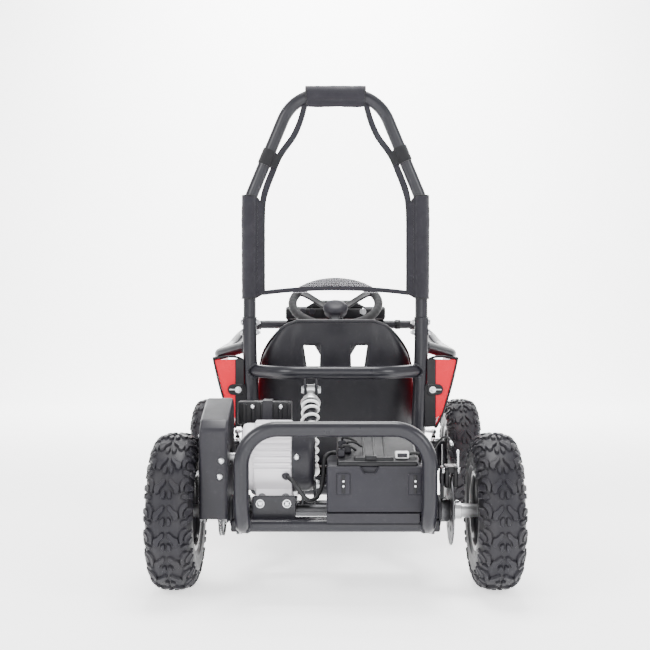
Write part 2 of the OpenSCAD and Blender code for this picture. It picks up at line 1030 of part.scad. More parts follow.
module brake_cable_rear() {
  color("#1a1b1d")
    cable(rear_cable, cable_d);
}

module brake_cable_front() {
  color("#1a1b1d")
    cable(front_cable, cable_d);
}

// ---------------------------------------------------------------- rear shock

shock_dir = unit(shock_foot - shock_top);
shock_len = norm(shock_foot - shock_top);
spring_d = 45;
seat_top = 44;                            // upper spring seat, from the upper eye
seat_low = 40;                            // lower spring seat, from the lower eye
body_end = 150;                           // lower end of the damper's body

module shock_eye(p) {
  difference() {
    along_x(p.x - 10.5, p.x + 10.5, p.y, p.z, 26);
    along_x(p.x - 20, p.x + 20, p.y, p.z, shock_pin + 2 * fit);
  }
}

module shock_bolt(p) {
  reach = clevis_gap / 2 + clevis_t + 0.3;
  cross_bolt(p.x - reach, p.x + reach, p.y, p.z, shock_pin);
}

module shock_body() {
  color("#d8dadc")
    difference() {
      union() {
        shock_eye(shock_top);
        aim(shock_top + shock_dir * 11, shock_dir)
          cylinder(h = seat_top - 11, d = 21);
        aim(shock_top + shock_dir * (seat_top - 5), shock_dir)
          cylinder(h = 5, d = spring_d + 3);
        aim(shock_top + shock_dir * seat_top, shock_dir)
          cylinder(h = body_end - seat_top, d = 28);
        shock_bolt(shock_top);
      }
      aim(shock_top + shock_dir * (seat_top + 6), shock_dir)
        cylinder(h = body_end, d = 12 + 2 * fit);
    }
}

module shock_rod() {
  color("#c8cacc")
      union() {
        shock_eye(shock_foot);
        aim(shock_foot - shock_dir * 11, -shock_dir)
          cylinder(h = seat_low - 11, d = 21);
        aim(shock_foot - shock_dir * (seat_low - 5), -shock_dir)
          cylinder(h = 5, d = spring_d + 3);
        aim(shock_foot - shock_dir * seat_low, -shock_dir)
          cylinder(h = shock_len - seat_low - seat_top - 40, d = 12);
        shock_bolt(shock_foot);
      }
}

module shock_spring() {
  color("#f0f0ee")
    difference() {
      aim(shock_top + shock_dir * (seat_top + 0.3), shock_dir)
        cylinder(h = shock_len - seat_top - seat_low - 0.6, d = spring_d);
      aim(shock_top, shock_dir)
        cylinder(h = shock_len, d = spring_d - 14);
    }
}

// ---------------------------------------------------------------- rear axle

module rear_axle() {
  color("#b9bcc0")
    union() {
      along_x(-rear_track / 2 - 45, rear_track / 2 + 45, rear_y, hub_z, axle_d);
      both_sides()
        rear_hub();
    }
}

module sprocket() {
  color("#8c8f93")
    difference() {
      union() {
        along_x(chain_x - 2.5, chain_x + 2.5, rear_y, hub_z, 2 * sprocket_r);
        along_x(chain_x - 10, chain_x + 12, rear_y, hub_z, 48);
      }
      along_x(chain_x - 20, chain_x + 20, rear_y, hub_z, axle_d);
    }
}

module brake_disc() {
  color("#a9acb0")
    difference() {
      union() {
        along_x(241.5, 246.5, rear_y, hub_z, disc_d);
        along_x(224, 251, rear_y, hub_z, 48);
      }
      along_x(200, 300, rear_y, hub_z, axle_d);
      for (a = [0:60:300])
        translate([0, rear_y, hub_z])
          rotate([a, 0, 0])
            along_x(200, 300, 0, 50, 14);
    }
}

module motor_sprocket() {
  color("#8c8f93")
    union() {
      along_x(chain_x - 6, -100, motor_y, motor_z, 17);
      along_x(chain_x - 3, chain_x + 3, motor_y, motor_z, 2 * pinion_r);
    }
}

// ---------------------------------------------------------------- pedals

module pedal(x) {
  difference() {
    union() {
      along_x(x - 18, x + 18, pedal_y, pedal_z, 22);
      rod([x, pedal_y, pedal_z], [x, pedal_y - 20, 290], 12);
      translate([x, pedal_y - 22, 296])
        rotate([10, 0, 0])
          span([-32, -6, -30], [32, 4, 34]);
    }
    along_x(x - 30, x + 30, pedal_y, pedal_z, pedal_pin);
  }
}

module throttle_pedal() {
  color("#303235")
    pedal(80);
}

module brake_pedal() {
  color("#303235")
    pedal(-80);
}

// ---------------------------------------------------------------- assembly

module front_tyre_left() { color("#18191b") front_wheel_place(-1) tyre(); }
module front_tyre_right() { color("#18191b") front_wheel_place(1) tyre(); }
module front_rim_left() { color("#2a2b2d") front_wheel_place(-1) front_rim(); }
module front_rim_right() { color("#2a2b2d") front_wheel_place(1) front_rim(); }
module rear_tyre_left() { color("#18191b") rear_wheel_place(-1) tyre(); }
module rear_tyre_right() { color("#18191b") rear_wheel_place(1) tyre(); }
module rear_rim_left() { color("#2a2b2d") rear_wheel_place(-1) rim(hub_face, axle_d + 6); }
module rear_rim_right() { color("#2a2b2d") rear_wheel_place(1) rim(hub_face, axle_d + 6); }

lower_frame();
posts();
roll_hoop();
rear_cross_tube();
side_bars();
front_tower();
front_bumper();
floor_pan();
nose_fairing();
dash_housing();
side_fairing_left();
side_fairing_right();
seat_shell();
frame_bolts();
mesh_screen();
mesh_edging();
top_pad();
column_bushes();
cradle_pivot_bolts();
brake_cable_front();
steering_column();
steering_hub();
steering_grip();
knuckle_left();
knuckle_right();
kingpin_left();
kingpin_right();
tie_rod_left();
tie_rod_right();
front_tyre_left();
front_rim_left();
front_tyre_right();
front_rim_right();
cradle();
rear_bumper();
bearing_carriers();
motor_body();
motor_end_bell();
motor_leads();
controller();
battery_case();
battery_lid();
chain_guard();
drive_chain();
brake_caliper();
brake_cable_rear();
caliper_arm();
shock_body();
shock_rod();
shock_spring();
rear_axle();
sprocket();
brake_disc();
rear_tyre_left();
rear_rim_left();
rear_tyre_right();
rear_rim_right();
motor_sprocket();
throttle_pedal();
brake_pedal();
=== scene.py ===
import logging
import math
from dataclasses import dataclass, field
from enum import Enum
from functools import lru_cache

import bmesh
import bpy
import numpy as np
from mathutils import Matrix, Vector
from mathutils.geometry import tessellate_polygon


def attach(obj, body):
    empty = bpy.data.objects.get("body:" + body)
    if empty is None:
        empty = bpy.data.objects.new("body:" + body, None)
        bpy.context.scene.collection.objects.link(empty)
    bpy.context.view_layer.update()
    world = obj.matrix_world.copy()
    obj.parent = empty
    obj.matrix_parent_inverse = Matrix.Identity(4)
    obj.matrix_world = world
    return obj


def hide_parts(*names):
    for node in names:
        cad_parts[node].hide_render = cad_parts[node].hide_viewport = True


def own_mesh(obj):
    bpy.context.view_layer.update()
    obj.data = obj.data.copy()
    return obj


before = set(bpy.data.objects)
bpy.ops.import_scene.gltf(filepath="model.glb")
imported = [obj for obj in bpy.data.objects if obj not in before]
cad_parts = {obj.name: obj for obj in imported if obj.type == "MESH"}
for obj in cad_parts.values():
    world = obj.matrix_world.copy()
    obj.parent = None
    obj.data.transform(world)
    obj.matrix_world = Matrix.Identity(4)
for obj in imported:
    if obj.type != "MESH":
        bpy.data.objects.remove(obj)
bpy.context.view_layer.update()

Array = np.ndarray
MM = 0.001
LOG = logging.getLogger("kart")
RIGHT, AHEAD, UP = np.eye(3)


class Body(str, Enum):
    """The moving bodies that pieces ride on."""

    CHASSIS = "chassis"
    STEERING = "steering"
    KNUCKLE_L = "knuckle_left_body"
    KNUCKLE_R = "knuckle_right_body"
    TIE_L = "tie_left_body"
    TIE_R = "tie_right_body"
    WHEEL_FL = "front_wheel_left"
    WHEEL_FR = "front_wheel_right"
    CRADLE = "rear_cradle"
    LEVER = "brake_lever"
    SHOCK_UP = "shock_upper"
    SHOCK_LOW = "shock_lower"
    AXLE = "axle_set"
    MOTOR = "motor_shaft"
    THROTTLE = "throttle"
    BRAKE = "brake"


# ------------------------------------------------------------------ numbers

def vec(*values: float) -> Array:
    """A point or direction as floats."""
    return np.array(values, dtype=float)


def unit(v: Array) -> Array:
    """v, or each row of v, at length one."""
    return v / np.linalg.norm(v, axis=-1, keepdims=True)


def flip(points: Array) -> Array:
    """The mirror image of points across the kart's middle plane."""
    return np.asarray(points, dtype=float) * vec(-1, 1, 1)


def mirrored(half: Array) -> Array:
    """A path followed by its own mirror image, back to front."""
    half = np.asarray(half, dtype=float)
    return np.vstack([half, flip(half)[::-1]])


def frame_of(direction: Array) -> tuple[Array, Array, Array]:
    """Two directions square to direction, and direction itself, right-handed."""
    w = unit(np.asarray(direction, dtype=float))
    helper = RIGHT if abs(w[0]) < 0.8 else UP
    u = unit(np.cross(helper, w))
    return u, np.cross(w, u), w


def rounded_path(corners: Array, radii: float | list[float], steps: int = 10) -> Array:
    """Corner points joined by straights, each inner corner turned into an arc.

    The arc at a corner starts and ends r tan(a/2) from it, where a is the turn,
    and its points are centre + r (-n cos t + u sin t) for t from 0 to a.

    Args:
        corners: Points of the path, one per row.
        radii: Bend radius, or one for each inner corner.
        steps: Points on each arc.

    Returns:
        Points along the whole path.
    """
    corners = np.asarray(corners, dtype=float)
    inner = len(corners) - 2
    radii = [radii] * inner if np.isscalar(radii) else radii
    out = [corners[:1]]
    for p, here, q, r in zip(corners[:-2], corners[1:-1], corners[2:], radii):
        u, v = unit(here - p), unit(q - here)
        turn = math.acos(float(np.clip(u @ v, -1, 1)))
        if turn < 1e-3:
            out.append(here[None])
            continue
        inward = unit(v - u * (u @ v))
        centre = here - u * r * math.tan(turn / 2) + inward * r
        t = np.linspace(0, turn, steps)[:, None]
        out.append(centre + r * (-inward * np.cos(t) + u * np.sin(t)))
    out.append(corners[-1:])
    return np.vstack(out)


def spline(points: Array, count: int) -> Array:
    """A smooth Catmull-Rom curve through points, with count points evenly in its parameter."""
    p = np.asarray(points, dtype=float)
    p = np.vstack([2 * p[0] - p[1], p, 2 * p[-1] - p[-2]])
    s = np.linspace(0, len(p) - 3 - 1e-9, count)
    i = s.astype(int)
    t = (s - i)[:, None]
    a, b, c, d = p[i], p[i + 1], p[i + 2], p[i + 3]
    return 0.5 * (2 * b + (c - a) * t + (2 * a - 5 * b + 4 * c - d) * t**2
                  + (3 * b - a - 3 * c + d) * t**3)


def carried_frames(path: Array, closed: bool = False) -> tuple[Array, Array]:
    """Two side directions at each station of a path, turning as little as they can.

    Each station's first side is the last one's, less its part along the new tangent.

    Args:
        path: Stations, one per row.
        closed: True if the last station joins the first.

    Returns:
        The first and second side directions, one row per station.
    """
    if closed:
        tangent = unit(np.roll(path, -1, 0) - np.roll(path, 1, 0))
    else:
        tangent = unit(np.gradient(path, axis=0))
    side = frame_of(tangent[0])[0]
    sides = []
    for t in tangent:
        side = unit(side - t * (side @ t))
        sides.append(side)
    sides = np.array(sides)
    return sides, np.cross(tangent, sides)


# ------------------------------------------------------------------ meshes

class Part:
    """One piece's mesh while it is being put together, in millimetres."""

    def __init__(self) -> None:
        """Starts with no faces."""
        self.verts: list[Array] = []
        self.uvs: list[Array] = []
        self.faces: list[tuple[Array, int]] = []
        self.count = 0

    def add(self, verts: Array, faces: Array, uv: Array | None = None, finish: int = 0) -> "Part":
        """Adds faces that index verts.

        Args:
            verts: Points, one per row.
            faces: Three or four indices a row.
            uv: Two pattern coordinates for each point, in metres.
            finish: Which of the piece's finishes they wear.

        Returns:
            The part itself.
        """
        verts = np.asarray(verts, dtype=float).reshape(-1, 3)
        self.verts.append(verts)
        self.uvs.append(np.zeros((len(verts), 2)) if uv is None
                        else np.asarray(uv, float).reshape(-1, 2))
        self.faces.append((np.asarray(faces) + self.count, finish))
        self.count += len(verts)
        return self

    def grid(self, p: Array, wrap_u: bool = False, wrap_v: bool = False, uv: Array | None = None,
             finish: int = 0, keep: Array | None = None) -> "Part":
        """Adds a grid of quads, p[u, v], whose normal is du x dv.

        Args:
            p: Points, shaped (nu, nv, 3).
            wrap_u: Joins the last row to the first.
            wrap_v: Joins the last column to the first.
            uv: Pattern coordinates, shaped (nu, nv, 2).
            finish: Which finish it wears.
            keep: Which quads to keep, where some are left out.

        Returns:
            The part itself.
        """
        nu, nv = p.shape[:2]
        i = np.arange(nu * nv).reshape(nu, nv)
        rows = np.vstack([i, i[:1]]) if wrap_u else i
        rows = np.hstack([rows, rows[:, :1]]) if wrap_v else rows
        quads = np.stack([rows[:-1, :-1], rows[1:, :-1], rows[1:, 1:], rows[:-1, 1:]], -1)
        quads = quads[keep] if keep is not None else quads.reshape(-1, 4)
        return self.add(p.reshape(-1, 3), quads, None if uv is None else uv.reshape(-1, 2), finish)

    def disc(self, ring: Array, outward: Array, finish: int = 0) -> "Part":
        """Closes a ring of points with a fan round its middle, facing outward."""
        n = len(ring)
        k = np.arange(n)
        centre = ring.mean(0)
        normal = np.cross(ring[0] - centre, ring[1] - centre)
        fan = np.stack([np.full(n, n), k, (k + 1) % n], -1)
        if normal @ outward < 0:
            fan = fan[:, ::-1]
        return self.add(np.vstack([ring, centre]), fan, None, finish)

    def sweep(self, path: Array, radius: float | Array, sides: int = 20, closed: bool = False,
              finish: int = 0, squash: float = 1.0) -> "Part":
        """Carries a circle along a path: point + r (s cos a + t squash sin a).

        Args:
            path: Stations along the middle.
            radius: Radius, or one for each station.
            sides: Points round the circle.
            closed: True for a ring with no ends.
            finish: Which finish it wears.
            squash: How flat the circle is along its second side.

        Returns:
            The part itself.
        """
        path = np.asarray(path, dtype=float)
        s, t = carried_frames(path, closed)
        a = np.linspace(0, 2 * np.pi, sides, endpoint=False)
        r = np.broadcast_to(np.asarray(radius, dtype=float), (len(path),))[:, None, None]
        ring = s[:, None] * np.cos(a)[None, :, None] + squash * t[:, None] * np.sin(a)[None, :, None]
        points = path[:, None] + r * ring
        along = np.concatenate([[0], np.cumsum(np.linalg.norm(np.diff(path, axis=0), axis=1))])
        uv = np.stack(np.broadcast_arrays(a[None] * r[..., 0], along[:, None]), -1) * MM
        self.grid(points[:, ::-1], closed, True, uv[:, ::-1], finish)
        if not closed:
            self.disc(points[0], path[0] - path[1], finish)
            self.disc(points[-1], path[-1] - path[-2], finish)
        return self

    def turn(self, profile: Array, at: Array, axis: Array, steps: int = 48, finish: int = 0,
             closed: bool = False) -> "Part":
        """Turns a profile of (radius, along) points round an axis.

        A point is at + along w + radius (u cos a + v sin a). The profile climbs the axis
        on its outside and comes back down on its inside.

        Args:
            profile: Radius and place along the axis, one pair per row.
            at: A point on the axis.
            axis: The axis' direction.
            steps: Points round the axis.
            finish: Which finish it wears.
            closed: True if the profile's last point joins its first.

        Returns:
            The part itself.
        """
        profile = np.asarray(profile, dtype=float)
        u, v, w = frame_of(axis)
        a = np.linspace(0, 2 * np.pi, steps, endpoint=False)[None, :, None]
        r, h = profile[:, 0, None, None], profile[:, 1, None, None]
        points = np.asarray(at) + h * w + r * (u * np.cos(a) + v * np.sin(a))
        return self.grid(points[:, ::-1], closed, True, None, finish)

    def box(self, low: Array, high: Array, r: float = 2.0, finish: int = 0, steps: int = 3) -> "Part":
        """A box with round edges: a cube's grid held to the inner box, then pushed out by r.

        Args:
            low: Lowest corner.
            high: Highest corner.
            r: Radius of the edges.
            finish: Which finish it wears.
            steps: Quads across each round.

        Returns:
            The part itself.
        """
        low, high = np.minimum(low, high).astype(float), np.maximum(low, high).astype(float)
        r = min(r, 0.49 * float((high - low).min()))
        a = np.linspace(0, 1, steps + 1)
        t = np.concatenate([a - 2, a + 1])
        g = np.stack(np.meshgrid(t, t, indexing="ij"), -1)
        mid, half = (low + high) / 2, (high - low) / 2 - r
        for axis in range(3):
            for sign in (-1, 1):
                q = np.empty(g.shape[:2] + (3,))
                q[..., axis] = 2 * sign
                q[..., (axis + 1) % 3] = g[..., 0]
                q[..., (axis + 2) % 3] = g[..., 1]
                core = np.clip(q, -1, 1)
                push = np.tan((q - core) * np.pi / 4)
                p = mid + core * half + r * unit(push)
                self.grid(p if sign > 0 else p[:, ::-1], finish=finish)
        return self

    def plate(self, outline: Array, t0: float, t1: float, place: "Place", holes: list[Array] = (),
              edge: float = 0.8, finish: int = 0) -> "Part":
        """A flat plate between t0 and t1 with chamfered edges and any holes.

        The outline and holes are (a, b) points, anticlockwise as seen against the
        plate's thickness axis; the faces between them are cut into triangles.

        Args:
            outline: The outer edge.
            t0: Lower side of the thickness.
            t1: Upper side of the thickness.
            place: Turns (a, b, t) into the kart's axes.
            holes: Outlines of holes.
            edge: Size of the chamfer.
            finish: Which finish it wears.

        Returns:
            The part itself.
        """
        loops = [np.asarray(outline, float)] + [np.asarray(h, float) for h in holes]
        inset = []
        for n, loop in enumerate(loops):
            if signed_area(loop) * (1 if n == 0 else -1) < 0:
                loop = loop[::-1]
            loops[n] = loop
            inset.append(loop - edge * outward_normals(loop))
        for loop, inner in zip(loops, inset):
            rings = [(inner, t0), (loop, t0 + edge), (loop, t1 - edge), (inner, t1)]
            p = np.stack([place.at(ring[:, 0], ring[:, 1], t) for ring, t in rings], 0)
            self.grid(p[:, ::-1], False, True, None, finish)
        flat = np.vstack(inset)
        pieces = [[Vector((x, y, 0)) for x, y in loop] for loop in inset]
        tris = np.array(tessellate_polygon(pieces))
        a, b, c = (flat[tris[:, k]] for k in range(3))
        area = (b - a)[:, 0] * (c - a)[:, 1] - (b - a)[:, 1] * (c - a)[:, 0]
        tris[area < 0] = tris[area < 0][:, ::-1]
        self.add(place.at(flat[:, 0], flat[:, 1], t1), tris, None, finish)
        return self.add(place.at(flat[:, 0], flat[:, 1], t0), tris[:, ::-1], None, finish)

    def mirrored(self) -> "Part":
        """A copy on the kart's other side, with its faces turned to point outward."""
        other = Part()
        other.verts = [flip(v) for v in self.verts]
        other.uvs = list(self.uvs)
        other.faces = [(f[:, ::-1], m) for f, m in self.faces]
        other.count = self.count
        return other

    def join(self, other: "Part") -> "Part":
        """Adds all of another part's faces."""
        self.verts += other.verts
        self.uvs += other.uvs
        self.faces += [(f + self.count, m) for f, m in other.faces]
        self.count += other.count
        return self

    def both(self) -> "Part":
        """Adds the part's own mirror image."""
        return self.join(self.mirrored())

    def make(self, name: str, body: Body, slot: str, finishes: list[bpy.types.Material],
             replaces: tuple[str, ...] = (), crease: float = 34.0,
             merge: bool = True) -> bpy.types.Object:
        """Turns the part into an object that rides on a body.

        Args:
            name: The object's name.
            body: The body it rides on.
            slot: The record's material slot; not used.
            finishes: Materials, in the order that finish counts them.
            replaces: CAD nodes that it stands for.
            crease: Edges that turn by more than this many degrees stay sharp.
            merge: True if points that meet become one.

        Returns:
            The new object.
        """
        verts = np.vstack(self.verts) * MM
        uvs = np.vstack(self.uvs)
        faces = [f for block, _ in self.faces for f in block.tolist()]
        index = np.concatenate([np.full(len(block), m) for block, m in self.faces])
        mesh = bpy.data.meshes.new(name)
        mesh.from_pydata(verts.tolist(), [], faces)
        mesh.polygons.foreach_set("material_index", index.astype(np.int32))
        layer = mesh.uv_layers.new(name="pattern")
        loops = np.empty(len(mesh.loops), dtype=np.int32)
        mesh.loops.foreach_get("vertex_index", loops)
        layer.data.foreach_set("uv", uvs[loops].astype(np.float32).ravel())
        for material in finishes:
            mesh.materials.append(material)
        if merge:
            weld_points(mesh)
        mesh.polygons.foreach_set("use_smooth", np.ones(len(mesh.polygons), dtype=bool))
        mesh.set_sharp_from_angle(angle=math.radians(crease))
        mesh.update()
        obj = bpy.data.objects.new(name, mesh)
        bpy.context.scene.collection.objects.link(obj)
        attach(obj, body.value)
        if replaces:
            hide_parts(*replaces)
        LOG.info("%s: %d faces on %s", name, len(mesh.polygons), body.value)
        return obj


@dataclass(frozen=True)
class Place:
    """Axes of a flat outline: where (a, b, t) goes in the kart's frame."""

    origin: tuple[float, float, float]
    along_a: tuple[float, float, float]
    along_b: tuple[float, float, float]

    def at(self, a: Array, b: Array, t: float | Array) -> Array:
        """The points origin + a A + b B + t (A x B)."""
        u, v = np.array(self.along_a, float), np.array(self.along_b, float)
        a, b, t = np.broadcast_arrays(np.asarray(a, float), np.asarray(b, float), np.asarray(t, float))
        return (np.array(self.origin) + a[..., None] * u + b[..., None] * v
                + t[..., None] * np.cross(u, v))


SIDE_VIEW = Place((0, 0, 0), (0, 1, 0), (0, 0, 1))      # (y, z) outlines, thickness along +X
TOP_VIEW = Place((0, 0, 0), (1, 0, 0), (0, 1, 0))       # (x, y) outlines, thickness along +Z
BACK_VIEW = Place((0, 0, 0), (1, 0, 0), (0, 0, 1))      # (x, z) outlines, thickness along -Y


def weld_points(mesh: bpy.types.Mesh) -> None:
    """Merges points of a mesh that lie within a hundredth of a millimetre."""
    work = bmesh.new()
    work.from_mesh(mesh)
    bmesh.ops.remove_doubles(work, verts=work.verts, dist=1e-5)
    bmesh.ops.dissolve_degenerate(work, edges=work.edges, dist=1e-6)
    work.to_mesh(mesh)
    work.free()


def signed_area(loop: Array) -> float:
    """Twice the area inside a loop of (a, b) points, positive if anticlockwise."""
    nxt = np.roll(loop, -1, 0)
    return float((loop[:, 0] * nxt[:, 1] - loop[:, 1] * nxt[:, 0]).sum())


def outward_normals(loop: Array) -> Array:
    """Directions at each point of an anticlockwise loop that move its edges out by one."""
    edge = unit(np.roll(loop, -1, 0) - loop)
    normal = np.stack([edge[:, 1], -edge[:, 0]], -1)
    both = normal + np.roll(normal, 1, 0)
    scale = np.maximum((both * both).sum(-1, keepdims=True) / 2, 0.35)
    return both / scale


def circle(radius: float, a: float = 0.0, b: float = 0.0, steps: int = 32) -> Array:
    """An anticlockwise circle of (a, b) points."""
    t = np.linspace(0, 2 * np.pi, steps, endpoint=False)
    return np.stack([a + radius * np.cos(t), b + radius * np.sin(t)], -1)


def rounded(corners: list[tuple[float, float]], r: float | list[float], steps: int = 5) -> Array:
    """A closed outline of (a, b) corners with each corner turned into an arc of radius r."""
    c = np.array(corners, dtype=float)
    radii = [r] * len(c) if np.isscalar(r) else list(r)
    closed = np.vstack([c[-1:], c, c[:1]])
    flat = np.hstack([closed, np.zeros((len(closed), 1))])
    return rounded_path(flat, radii, steps)[1:-1, :2]


def slab(x0: float, x1: float, y0: float, y1: float) -> list[tuple[float, float]]:
    """The four corners of an upright rectangle, anticlockwise."""
    return [(x0, y0), (x1, y0), (x1, y1), (x0, y1)]


def ripple(p: Array, size: float, seed: int = 0) -> Array:
    """A smooth, seeded roll of hills between -1 and 1 over points.

    It is the mean of sines of the points' parts along eight fixed random
    directions, each with its own phase; size is the length of a hill in mm.
    """
    rng = np.random.default_rng(seed)
    k = unit(rng.normal(size=(8, 3))) * (2 * np.pi / size) * rng.uniform(0.6, 1.5, (8, 1))
    return np.sin(np.asarray(p) @ k.T + rng.uniform(0, 2 * np.pi, 8)).mean(-1) * 1.8


# ------------------------------------------------------------------ fasteners and joints

def hex_head(part: Part, at: Array, out: Array, across: float, height: float, flange: float = 0.0,
             finish: int = 0) -> None:
    """A hexagon head: radius a/2 / cos(angle from the flat's middle), chamfered at its top.

    Args:
        part: The part it is added to.
        at: The middle of its seat.
        out: The way the head stands.
        across: Distance across the flats.
        height: How far it stands.
        flange: Diameter of a washer under it, if any.
        finish: Which finish it wears.
    """
    u, v, w = frame_of(out)
    a = np.linspace(0, 2 * np.pi, 36, endpoint=False)
    wave = across / 2 / np.cos((a % (np.pi / 3)) - np.pi / 6)
    base = 0.0
    if flange:
        base = 0.16 * height + 0.8
        rim = [(0, 0), (flange / 2, 0), (flange / 2, base * 0.7), (flange / 2 - 0.6, base), (0, base)]
        part.turn(rim, at, out, 32, finish)
    top = height
    rings = [(wave, base), (wave, top * 0.84), (np.minimum(wave, across * 0.49), top * 0.97),
             (wave * 0.62, top), (wave * 0.0, top)]
    p = np.stack([np.asarray(at) + h * w
                  + r[:, None] * (np.cos(a)[:, None] * u + np.sin(a)[:, None] * v)
                  for r, h in rings])
    part.grid(p[:, ::-1], False, True, None, finish)


def button_head(part: Part, at: Array, out: Array, d: float, finish: int = 0) -> None:
    """A low domed head with a round socket."""
    h = 0.34 * d
    dome = [(d / 2 * math.cos(t), h * math.sin(t)) for t in np.linspace(0, 1.1, 7)]
    socket = [(0.22 * d, dome[-1][1]), (0.2 * d, 0.25 * h), (0, 0.22 * h)]
    part.turn([(0, 0), (d / 2, 0)] + dome + socket, at, out, 28, finish)


def through_bolt(part: Part, a: Array, b: Array, d: float, finish: int = 0) -> None:
    """A bolt through from a to b: flanged head at a, lock nut and thread end at b."""
    out = unit(b - a)
    part.sweep(np.array([a, b + out * 0.55 * d]), d / 2, 16, finish=finish)
    hex_head(part, a, -out, 1.65 * d, 0.62 * d, 2.1 * d, finish)
    hex_head(part, b, out, 1.65 * d, 0.75 * d, 2.0 * d, finish)


def weld_bead(part: Part, meet: Array, along: Array, other: Array, r: float, r_other: float,
              size: float = 3.0, finish: int = 0) -> None:
    """A bead of weld where a tube of radius r meets the side of another tube.

    Each point of the bead is on both tubes: w + t along, where w goes round the
    first tube, and t is the larger root of |w + t along less its part along
    other| = r_other. Its thickness swells and thins like stacked coins.

    Args:
        part: The part it is added to.
        meet: Where the two middles meet.
        along: Direction of the first tube, away from the other.
        other: Direction of the other tube.
        r: Radius of the first tube.
        r_other: Radius of the other tube.
        size: Radius of the bead.
        finish: Which finish it wears.
    """
    u, v, w = frame_of(along)
    o = unit(np.asarray(other, float))
    a = np.linspace(0, 2 * np.pi, 96, endpoint=False)[:, None]
    round_it = r * (u * np.cos(a) + v * np.sin(a))
    side = round_it - (round_it @ o)[:, None] * o
    ahead = w - (w @ o) * o
    k2, k1 = ahead @ ahead, side @ ahead
    k0 = (side * side).sum(-1) - r_other**2
    t = (-k1 + np.sqrt(np.maximum(k1**2 - k2 * k0, 0))) / k2
    coins = 1 + 0.22 * np.sin(a[:, 0] * r * 0.9)
    part.sweep(np.asarray(meet) + round_it + t[:, None] * w, size * coins, 8, True, finish)


# ------------------------------------------------------------------ finishes

class Grain(str, Enum):
    """How a surface is broken up close by."""

    POWDER = "powder coat"
    MOULDED = "moulded plastic"
    CAST = "cast metal"
    WOVEN = "woven cloth"
    PLATED = "plated steel"
    RUBBER = "rubber"
    SMOOTH = "smooth"


# For each grain: size of its dimples in mm, depth of them in mm, how much of it shows.
DIMPLES = {
    Grain.POWDER: (1.6, 0.030, 0.35),
    Grain.MOULDED: (0.9, 0.035, 0.45),
    Grain.CAST: (1.8, 0.120, 0.60),
    Grain.WOVEN: (1.3, 0.250, 0.80),
    Grain.PLATED: (3.0, 0.015, 0.30),
    Grain.RUBBER: (1.2, 0.060, 0.50),
    Grain.SMOOTH: (6.0, 0.010, 0.20),
}


class Net:
    """A material's node tree while it is wired up."""

    def __init__(self, name: str) -> None:
        """Starts a material with an output and nothing else."""
        self.material = bpy.data.materials.new(name)
        self.material.use_nodes = True
        self.tree = self.material.node_tree
        self.tree.nodes.clear()

    def node(self, kind: str, wires: dict | None = None, **settings) -> bpy.types.Node:
        """Adds a node; wires gives its sockets a value, or another node's output."""
        made = self.tree.nodes.new("ShaderNode" + kind)
        for key, value in settings.items():
            setattr(made, key, value)
        for key, value in (wires or {}).items():
            socket = made.inputs[key]
            if isinstance(value, bpy.types.NodeSocket):
                self.tree.links.new(value, socket)
            else:
                socket.default_value = value
        return made

    def noise(self, where: bpy.types.NodeSocket, size: float,
              detail: float = 3.0) -> bpy.types.NodeSocket:
        """Noise between 0 and 1 whose blots are about size mm across."""
        made = self.node("TexNoise", {"Vector": where, "Scale": 1 / (size * MM), "Detail": detail})
        return made.outputs["Fac"]

    def remap(self, value: bpy.types.NodeSocket, low: float, high: float, to_low: float,
              to_high: float) -> bpy.types.NodeSocket:
        """The value, with low..high turned into to_low..to_high and held there."""
        wires = {"Value": value, "From Min": low, "From Max": high, "To Min": to_low, "To Max": to_high}
        return self.node("MapRange", wires).outputs["Result"]

    def blend(self, share: bpy.types.NodeSocket, a: object, b: object) -> bpy.types.NodeSocket:
        """Colour a turning into colour b as share goes from 0 to 1."""
        made = self.node("Mix", data_type="RGBA")
        for socket, value in ((made.inputs[0], share), (made.inputs[6], a), (made.inputs[7], b)):
            if isinstance(value, bpy.types.NodeSocket):
                self.tree.links.new(value, socket)
            else:
                socket.default_value = value
        return made.outputs[2]


